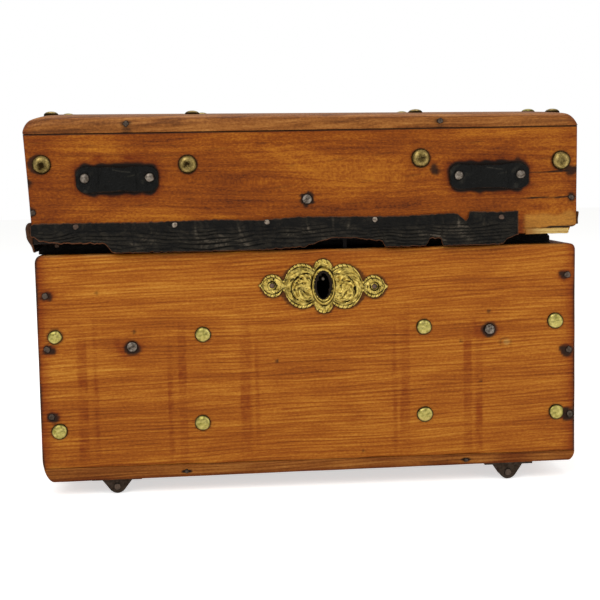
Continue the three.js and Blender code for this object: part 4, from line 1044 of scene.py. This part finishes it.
def heads(places, radius, height, out, profile, seed, sectors=40, rings=12, sink=0.6, uneven=0.03,
          lean=0.12, centre_dirt=0.0):
    """Points: place + r * radius * (1 + uneven * sway) round the circle, and height * profile(r)
    outwards, on a grid of rings by sectors, closed behind by a sunk disc. The radius is one number
    or one for each head. The grime on the middle lies a little low, and grows less head by head."""
    sizes = np.broadcast_to(radius, len(places))
    axis, side = out
    across = [i for i in range(3) if i != axis]
    r, angle = grid(np.linspace(0, 1, rings) ** 0.8, np.linspace(0, 2 * np.pi, sectors, endpoint=False))
    r = np.concatenate([r, np.ones((1, sectors)), np.zeros((1, sectors))])
    angle = np.concatenate([angle, angle[:2]])
    cos, sin = np.cos(angle), np.sin(angle)
    cells = around(rings + 2, sectors)
    all_points, all_faces, all_marks = [], [], []
    random = np.random.default_rng(seed)
    for i, centre in enumerate(places):
        reach = sizes[i] * (1 + uneven * sway(stacked(cos, sin, i * 3.7), seed + i, 1.6))
        up = height * profile(unit(r), angle)
        up[rings:] = -sink
        tip = random.normal(0, lean, 2)
        up[:rings] += (tip[0] * r * cos + tip[1] * r * sin)[:rings] * 0.5
        up[:rings] = np.maximum(up[:rings], 0.05)
        points = np.zeros(r.shape + (3,))
        points[...] = centre
        points[..., across[0]] += r * reach * cos
        points[..., across[1]] += r * reach * sin
        points[..., axis] += side * up
        on_head = stacked(r * cos, r * sin + 0.12, i * 2.3)
        patch = unit((0.95 - np.hypot(on_head[..., 0], on_head[..., 1])) / 0.75)
        patch = patch * (0.95 + 0.25 * sway(on_head, seed + 40, 0.9))
        grime_and_shade = unit((r - 0.76) / 0.24) * 0.85 + centre_dirt * (1 - 0.13 * (i % 4)) * patch
        all_points.append(points.reshape(-1, 3))
        all_faces.append(cells + i * r.size)
        all_marks.append(stacked(grime_and_shade, 0, 0).reshape(-1, 3))
    return np.concatenate(all_points), np.concatenate(all_faces), np.concatenate(all_marks)


def nails(name, places, radius, height, profile, seed, body, slot, material, replaces=(), out=FACE, **more):
    """Makes one piece of the heads at all the places."""
    piece(name, *heads(places, radius, height, out, profile, seed, **more), body, slot, material, replaces)


def dome(r, angle):
    """A quarter ellipse, sqrt(1 - r^2), with a small flat lip at the rim."""
    return np.maximum(np.sqrt(np.maximum(1 - (r / 0.97) ** 2, 0)), 0.08)


def hammered(r, angle):
    """A low head with a turned-down edge, dented by blows: (1 - r^2.6)^0.5 with facets."""
    round_head = np.maximum(np.sqrt(np.maximum(1 - (r / 0.98) ** 2.6, 0)), 0.1)
    return round_head * (0.86 + 0.1 * np.cos(3 * angle + 1) * r + 0.06 * np.cos(5 * angle) * r)


def ringed_dome(r, angle):
    """A dome with an upright edge at its rim and a shallow groove just inside it."""
    round_head = np.maximum(np.sqrt(np.maximum(1 - (r / 0.98) ** 2, 0)), 0.22)
    return round_head * (1 - 0.12 * ridge(r - 0.86, 0.06))


def slotted(r, angle):
    """A low dome with a straight slot 0.32 of the radius wide cut across it."""
    across = np.abs(r * np.sin(angle - 0.6))
    return (0.35 + 0.65 * np.sqrt(np.maximum(1 - r**2, 0))) * np.where(across < 0.16, 0.35, 1.0)


def seats(names, y):
    """Places on a face at y behind the named heads."""
    return [(middle_of(name)[0], y, middle_of(name)[2]) for name in names]


nails("body_nails", seats(BODY_NAILS, FRONT), (4.9, 5.4, 5.5, 5.6, 5.6, 5.4, 5.6, 5.4), 2.8, hammered, 100,
      "body", "brass_aged", old_brass, BODY_NAILS, uneven=0.05, lean=0.6)
nails("lid_nails", seats(LID_NAILS, LID_FRONT), 6.3, 3.4, ringed_dome, 110, "lid", "brass_aged", lid_brass,
      LID_NAILS, centre_dirt=0.85)
nails("body_screws", seats(BODY_SCREWS, FRONT), 3.8, 2.2, slotted, 120, "body", "steel_grey", steel,
      BODY_SCREWS, lean=0.5, centre_dirt=0.15)
nails("lid_centre_screw", [LID_SCREW], 3.5, 2.0, slotted, 124, "lid", "steel_grey", steel, centre_dirt=0.2)
nails("keeper_rivets", seats(RIVETS, LID_FRONT - LOOP_THICK + 0.2), 3.3, 1.8, dome, 130, "lid", "steel_grey",
      steel, RIVETS, uneven=0.06, lean=0.3)

# %% [markdown]
# Small things that the CAD model leaves to this scene: eight of the twelve brass nails on the
# top, iron nails at the corners, in the bottom board and in the lid, the tacks that hold the
# flap, of which the outer ones are rusty, the rivets of the axles and the screws of the hinges.

# %% Nails of the top, small iron nails and hinge screws
TOP_RADIUS = 5.1
TOP_ROWS = {28: (-174, -77.2, 79, 177), 197: (-173, -75, 80, 175)}
TACKS = ((-156.9, 183.6), (-91, 183.5), (-28.6, 184.1), (45, 184.2), (132.5, 184))
PHOTO_SHIFT = 0.83  # from a place read off the photograph to the CAD model's, along X
AXLE_Z, AXLE_REACH = 5.0, 5.6
LEAF_THICK, SCREW_INSET = 1.6, 3.6
LIP_TACK = (-170.9, FRONT + BOARD - 0.6, 172)


def seat_on_top(x, y):
    """The highest wood under a head's rim."""
    angle = np.linspace(0, 2 * np.pi, 16, endpoint=False)
    return float(np.max(top_height(x + TOP_RADIUS * np.cos(angle), y + TOP_RADIUS * np.sin(angle))))


on_cad = [(middle_of(name)[0], middle_of(name)[1], corners(name)[1][2] - 2.4) for name in TOP_NAILS]
nails("top_nails_middle", on_cad, TOP_RADIUS, 2.35, dome, 140, "lid", "brass_aged", old_brass, TOP_NAILS,
      (2, 1), sink=1.2, lean=0.02)
outer = [(x + PHOTO_SHIFT, FRONT + depth) for depth, xs in TOP_ROWS.items() for x in xs]
nails("top_nails_outer", [(x, y, seat_on_top(x, y) - 0.3) for x, y in outer], TOP_RADIUS, 2.3, dome, 145,
      "lid", "brass_aged", lid_brass, out=(2, 1), sink=1.2, centre_dirt=0.3)
nails("corner_nails", [(x, FRONT - 0.1, z) for x, z in CORNER_NAILS + BASE_NAILS],
      [2.3] * len(CORNER_NAILS) + [1.5] * len(BASE_NAILS), 1.1, dome, 150, "body", "iron_dark", worn_iron,
      uneven=0.2, lean=0.6, centre_dirt=0.25, **SMALL)
nails("lid_iron_nails", [(x, LID_FRONT - 0.1, z) for x, z in TOP_IRON + END_IRON], 2.0, 1.0, dome, 160,
      "lid", "iron_dark", worn_iron, uneven=0.18, lean=0.4, centre_dirt=0.2, **SMALL)
tack_places = [(x + PHOTO_SHIFT, LID_FRONT - 1.7, z + 1.5) for x, z in TACKS]
for name, places, finish in (("flap_tacks_rusty", tack_places[::4], rusty),
                             ("flap_tacks_bright", tack_places[1:4], bright_tack)):
    nails(name, places, 2.0, 1.1, dome, 170, "lid", "steel_grey", finish, uneven=0.12, centre_dirt=0.2,
          **TINY)
nails("lip_tack", [LIP_TACK], 1.9, 1.0, dome, 172, "body", "steel_grey", rusty, uneven=0.15, **TINY)
brackets = [middle_of("roller_bracket_front_" + side) for side in ("left", "right")]
axles = [(x, y - AXLE_REACH, AXLE_Z) for x, y, z in brackets]
back_axles = [(x, BACK - (y - FRONT), z) for x, y, z in axles]
for end, places, out, seed in (("front", axles, FACE, 174), ("back", back_axles, (1, 1), 176)):
    nails(f"axle_rivets_{end}", places, 2.5, 1.0, dome, seed, "body", "iron_dark", rivet_iron, out=out,
          uneven=0.12, **SMALL)
leaves = [corners("hinge_body_leaf_" + side) for side in ("left", "right")]
for body, side, z, shares in (("body", 1, RIM + LEAF_THICK, (0.1, 0.5, 0.9)),
                              ("lid", -1, LID_FOOT - LEAF_THICK, (0.3, 0.7))):
    places = [(low[0] + share * (high[0] - low[0]), low[1] + SCREW_INSET, z)
              for low, high in leaves for share in shares]
    nails(f"hinge_screws_{body}", places, 2.2, 0.4, slotted, 175, body, "steel_grey", steel, out=(2, side),
          **SMALL)

# %% [markdown]
# The escutcheon is thin brass stamped in a die: joined round lobes with a beaded border, curling
# scrolls and a raised oval rim round the keyhole. It is drawn as a height over the plate: for
# each place along it, the outline is the tallest of the lobes there, and the relief is a sum of
# ridges that follow circles and spirals inside each lobe.

# %% Escutcheon
ESC_LOBES = ((-14.4, 12.8, 15.5), (14.4, 12.8, 15.5), (-34.8, 7.7, 7.9), (34.8, 7.7, 7.9))
ESC_END, ESC_TIP_END, TIP_RUN = 44.7, 44.8, 4.2
KEYHOLE, KEYHOLE_UP = (6.3, 10.2), 0.7
RIM_OVAL, RIM_WIDTH = (7.3, 11.9), 0.8
SIDE_LOBE_X, SIDE_LOBE_DOWN, SIDE_LOBE_RADIUS = 13.4, 0.4, 12.2
SCROLL_RIDGE, SCROLL_GROOVE = 8.3, 9.8
RING_RIDGE, RING_GROOVE = 4.6, 2.9
SHELL_RIDGE, SHELL_GROOVE = 3.6, 2.2


def esc_half_height(x):
    """Half height of the outline at x from the middle: the tallest of the lobes' ellipses, the
    round crown over the keyhole, the neck and the pointed tips."""
    tip = unit((ESC_TIP_END - np.abs(x)) / TIP_RUN) ** 0.8 * 3.4
    half = np.where(np.abs(x) < END_LOBE_X, 3.8, tip)
    for centre, width, height in ESC_LOBES:
        half = np.maximum(half, height * np.sqrt(unit(1 - ((x - centre) / width) ** 2)))
    crown = CROWN_Z + np.sqrt(np.clip(CROWN_RADIUS**2 - x**2, 0, None))
    return np.where(np.abs(x) < CROWN_RADIUS, np.maximum(half, crown), half)


def spiral(x, z, pitch, start):
    """How far a place is along the way from one turn of a spiral to the next, 0 to 1: the fraction of
    (r + pitch * angle / 360 deg + start) / pitch."""
    turns = (np.hypot(x, z) + start) / pitch + np.arctan2(z, x) / (2 * np.pi)
    return turns - np.floor(turns)


def scroll_side(dx, dz):
    """Distance from the middle of a side lobe's C-shaped scroll, which is a little out of round."""
    return np.hypot(dx + 1.2, dz + 0.8) + 0.5 * np.sin(2 * np.arctan2(dz, dx))


def esc_relief(x, z):
    """Height of the stamping over the plate and how deep a groove is there, both 0 to 1: a spiral
    scroll with a notched back in each side lobe, a beaded ring in each end lobe, and fluted
    shells over and under the keyhole."""
    height, groove = np.zeros_like(x), np.zeros_like(x)
    place = stacked(x, 0, z)
    chased = 0.6 * sway(place, 186, 3.0) + 0.6 * sway(place, 187, 1.7)
    broken = unit(0.7 + 0.8 * sway(place, 185, 8))
    for side in (-1, 1):
        dx, dz = (x - side * SIDE_LOBE_X) * side, z + SIDE_LOBE_DOWN
        r, angle = np.hypot(dx, dz), np.arctan2(dz, dx)
        along, scroll = spiral(dx, dz, 4.6, 1.0), scroll_side(dx, dz)
        inside = unit(SIDE_LOBE_RADIUS - r)
        leaf = np.cos(9 * angle + 1.6 * r) * unit((r - 3.0) / 2)
        height += inside * (np.sin(np.pi * along) ** 0.6 * 0.7 * broken + 0.35 * leaf)
        paint(groove, inside * 0.8 * broken * fade(np.minimum(along, 1 - along), 0.18))
        paint(groove, inside * 0.8 * unit(-1.3 * leaf - 0.55) * (scroll < 7.6))
        strokes = stacked(r + 1.5 * angle, 3.4 * angle, 20.0 * side)
        fine = 0.75 * sway(strokes, 188, 3.2) + 0.45 * sway(strokes, 189, 1.8)
        chased = np.where(r < 12.6, fine, chased)
        height += 0.8 * ridge(scroll - SCROLL_RIDGE, 0.9) * (dx > -5)
        paint(groove, 0.9 * ridge(scroll - SCROLL_GROOVE, 0.6) * (dx > -6) * unit(0.3 + broken))
        r, angle = np.hypot(x - side * END_LOBE_X, z), np.arctan2(z, x - side * END_LOBE_X)
        here = r < 8
        height += here * (0.75 * ridge(r - RING_RIDGE, 1.0) * (0.7 + 0.3 * np.cos(9 * angle)))
        paint(groove, here * ridge(r - RING_GROOVE, 0.5))
    height += 0.4 * chased
    paint(groove, 0.8 * unit(-1.9 * chased - 0.5))
    above = np.abs(z) - CROWN_Z
    shell, fan = np.hypot(x, above), np.arctan2(above, x)
    crown = (np.abs(z) > 12.2) & (shell < 6)
    height += crown * (0.8 * ridge(shell - SHELL_RIDGE, 1.0) * (0.75 + 0.25 * np.cos(9 * fan)))
    paint(groove, crown * 0.8 * ridge(shell - SHELL_GROOVE, 0.5))
    return height, groove


def escutcheon():
    """Points: x along, z = v * half height, and y = -(plate + border + relief + oval rim). The
    keyhole's oval lies a little over the rim's, so that the bevel under it is the wider."""
    x, v = grid(np.linspace(-ESC_END, ESC_END, 300), np.linspace(-1, 1, 121))
    half = np.maximum(esc_half_height(x), 0.25)
    z = v * half
    oval = in_oval(x, z - KEYHOLE_UP, KEYHOLE)
    near = (oval > 0.93) & (oval < 1.06)
    x = np.where(near, x / oval, x)
    z = np.where(near, (z - KEYHOLE_UP) / oval + KEYHOLE_UP, z)
    edge = (1 - np.abs(v)) * half
    place = stacked(x, 0, z)
    beads = np.cos((x + np.abs(z) * 0.5) * 2.0)
    border = np.exp(-((edge - 1.1) / 0.8) ** 4) * (0.7 + 0.3 * beads)
    rim = in_oval(x, z, RIM_OVAL)
    raised_rim = ridge((rim - 1) * RIM_OVAL[0], RIM_WIDTH)
    clear = unit((rim - 1.13) * 8)
    inner = unit((edge - 2.0) / 0.8)
    height, groove = esc_relief(x, z)
    bevel = unit((1 - rim) * RIM_OVAL[0] / 3)
    out = (0.5 + 0.7 * border + inner * clear * 1.05 * height + 1.9 * raised_rim - 0.3 * bevel
           + 0.05 * sway(place, 180, 3))
    out = np.where(edge < 0.3, np.minimum(out, 0.5), out)
    level = keyhole_z + z + ESC_TILT * x
    cx, cz = (x[:-1, :-1] + x[1:, 1:]) / 2, (z[:-1, :-1] + z[1:, 1:]) / 2
    keep = in_oval(cx, cz - KEYHOLE_UP, KEYHOLE) > 0.99
    for side in (-1, 1):
        keep &= np.hypot(cx - side * END_LOBE_X, cz) > 0.9
    outline = ridge(edge - 2.3, 0.5) * (np.abs(x) > 6) + ridge((rim - 1.13) * 8, 0.7) * (edge > 1)
    patchy = 0.8 + 0.35 * sway(place, 183, 7)
    ground = 0.45 * (1 - unit(height * 1.2)) * inner * clear
    grime_and_shade = unit(np.maximum(np.maximum(groove * inner * clear, 0.85 * outline), ground) * patchy)
    paint(grime_and_shade, 0.75 * unit(-beads - 0.2) * (edge < 2.2) * clear)
    # A dark line at the plate's very edge, and painted shade on the keyhole's inner bevel, all but its lowest
    # part, which faces down.
    grime_and_shade += 0.7 * fade(edge, 0.5) + 0.5 * unit((0.93 - rim) * 8) * (z > -6)
    sheets("stamped_escutcheon", stacked(lock_x + x, FRONT - np.clip(out, 0.2, 2.6), level),
           stacked(lock_x + x, FRONT, level), stacked(grime_and_shade, 0, 0), "body", "brass_gilt", gilt_brass,
           ["escutcheon"], keep)


escutcheon()
ESC_PINS = ["escutcheon_pin_left", "escutcheon_pin_right"]
pin_places = [(x, FRONT - 0.6, z + ESC_TILT * (x - lock_x)) for x, y, z in seats(ESC_PINS, FRONT)]
nails("escutcheon_pins", pin_places, 1.8, 0.9, dome, 190, "body", "brass_aged", rusty, ESC_PINS, **TINY)

# %% [markdown]
# Through the keyhole one sees the drill pin, which a hollow key slides over, against the dark
# inside of the lock. The pin and the cap are one solid in the CAD model, so they are one piece
# here too: a worn plate and a turned pin. The plate is painted black and the pin darkens towards
# its root, as painted shade inside the keyhole.

# %% Cap of the lock and its drill pin
CAP_PLATE, PIN_RADIUS, PIN_UP, PIN_SECTORS = 1.2, 1.5, 4.9, 24


def lock_cap():
    """The plate is two sheets with worn edges. The pin is a profile of radius against length,
    straight and then a quarter circle, carried round its axis."""
    low, high = corners("lock_cap")
    plate_low = np.array([low[0], high[1] - CAP_PLATE, low[2]])
    face, back, distance = board_grid(plate_low, high, (1, 1), 3.0, 1.0)
    face[..., 1] -= rounding(distance, 0.5)
    points, faces = two_sheets(face, back)
    root = high[1] - CAP_PLATE / 2
    straight, turn = root - low[1] - PIN_RADIUS, np.linspace(0.2, np.pi / 2, 7)
    along = np.concatenate([[0, 0], np.linspace(0, straight, 8), straight + PIN_RADIUS * np.sin(turn)])
    size = np.concatenate([[0, PIN_RADIUS], np.full(8, PIN_RADIUS), PIN_RADIUS * np.cos(turn)])
    a, angle = grid(along, np.linspace(0, 2 * np.pi, PIN_SECTORS, endpoint=False))
    size = size[:, None]
    pin_z = keyhole_z + PIN_UP + size * np.sin(angle)
    pin = stacked(lock_x + size * np.cos(angle), root - a, pin_z).reshape(-1, 3)
    cells = outward(pin, around(len(along), PIN_SECTORS))
    # Painted shade: the whole plate takes the dark colour, and the pin darkens over 9 mm towards its root.
    marks = np.concatenate([np.ones(len(points)), fade(a, 9).ravel()])
    faces = np.concatenate([outward(points, faces), cells + len(points)])
    piece("lock_cap_and_pin", np.concatenate([points, pin]), faces, stacked(marks, 0, 0), "body",
          "steel_grey", cap_iron, ["lock_cap"])


lock_cap()

# %% [markdown]
# The iron rollers, the hinges and the lock keep their CAD shapes, and get their metals here.
# The lock's case and its link plate, which lie in the dark gap, get a near-black iron as painted shade.

# %% Metals of the CAD nodes
FINISHES = {"iron_dark": iron, "steel_grey": steel, "brass_aged": old_brass}
for node_name, made in frame["nodes"].items():
    slot_name = next(s["material_slot"] for s in frame["record"]["subparts"] if s["node"] == node_name)
    # The lock's case and link plate get the near-black iron as painted shade.
    finish = shade_black_iron if node_name in ("lock_case", "lock_link_plate") else FINISHES.get(slot_name)
    if finish:
        made.data.materials.clear()
        made.data.materials.append(finish)
print("iron and steel on the rollers, hinges and lock")

# %% [markdown]
# The studio: a pale floor that the camera sees as white, three soft lamps and an even sky.
# The lamps are level enough for a colour to come out about as it is written.

# %% Floor and light
def studio_white(name, colour, glow):
    """A diffuse white that adds a glow for the camera, glossy and transmission rays only."""
    material, tree, shader, _ = start_material(name)
    path = add(tree, "ShaderNodeLightPath", {})
    seen = calc(tree, "MAXIMUM", path["Is Camera Ray"], path["Is Glossy Ray"])
    seen = calc(tree, "MAXIMUM", seen, path["Is Transmission Ray"])
    feed(tree, shader, {"Base Color": colour, "Roughness": 1.0, "Specular IOR Level": 0.0,
                        "Emission Color": "#ffffff", "Emission Strength": calc(tree, "MULTIPLY", seen, glow)})
    return material


def place_in_scene(name, data):
    """A new object of the scene with the data."""
    made = bpy.data.objects.new(name, data)
    bpy.context.scene.collection.objects.link(made)
    return made


REACH, SKY_LIGHT = 6.0, 0.42
floor_mesh = bpy.data.meshes.new("floor")
floor_corners = [(-REACH, -REACH, 0), (REACH, -REACH, 0), (REACH, REACH, 0), (-REACH, REACH, 0)]
floor_mesh.from_pydata(floor_corners, [], [(0, 1, 2, 3)])
floor_mesh.materials.append(studio_white("pale_floor", "#efeeeb", 0.6))
floor = place_in_scene("floor", floor_mesh)

world = bpy.data.worlds.new("studio")
bpy.context.scene.world = world
world.use_nodes = True
sky = world.node_tree
for old in list(sky.nodes):
    sky.nodes.remove(old)
path = add(sky, "ShaderNodeLightPath", {})
seen = calc(sky, "MAXIMUM", path["Is Camera Ray"], path["Is Transmission Ray"])
strength = ranged(sky, seen, 0.0, 1.0, SKY_LIGHT, 1.0)
shade = add(sky, "ShaderNodeBackground", {"Color": "#ffffff", "Strength": strength})
add(sky, "ShaderNodeOutputWorld", {"Surface": shade[0]})


def lamp(name, place, aim, size, power):
    """A square soft lamp at a place in metres, turned to face another place."""
    data = bpy.data.lights.new(name, "AREA")
    data.energy, data.size = power, size
    made = place_in_scene(name, data)
    made.rotation_euler = (Vector(aim) - Vector(place)).to_track_quat("-Z", "Y").to_euler()
    made.location = place


lamp("key", (-0.9, -1.5, 1.5), (0, 0, 0.12), 1.4, 20)
lamp("fill", (1.3, -1.2, 0.9), (0, 0, 0.12), 1.4, 9)
lamp("top", (0, 0.5, 1.8), (0, 0, 0.2), 1.4, 10)

# %% [markdown]
# The camera stands where the photograph was taken: a little left of the middle, turned as much to
# the right, looking down a little and rolled by one degree.

# %% Camera
YAW, PITCH, ROLL = math.radians(-4.219), math.radians(5.731), math.radians(-1.090)
CAMERA_PLACE = (-0.06883, -0.96317, 0.21716)
turn = Matrix.Rotation(YAW, 3, "Z")
forward = turn @ Matrix.Rotation(-PITCH, 3, "X").col[1]
right = turn.col[0].copy()
up = right.cross(forward)
rolled_right = right * math.cos(ROLL) + up * math.sin(ROLL)
rolled_up = up * math.cos(ROLL) - right * math.sin(ROLL)
camera_data = bpy.data.cameras.new("camera")
camera_data.lens, camera_data.sensor_width = 75.0, 36.0
camera = place_in_scene("camera", camera_data)
orientation = Matrix((rolled_right, rolled_up, -forward)).transposed().to_4x4()
camera.matrix_world = Matrix.Translation(CAMERA_PLACE) @ orientation
bpy.context.scene.camera = camera
bpy.context.scene.view_settings.view_transform = "Standard"
print("camera at", [round(v, 3) for v in camera.matrix_world.translation])
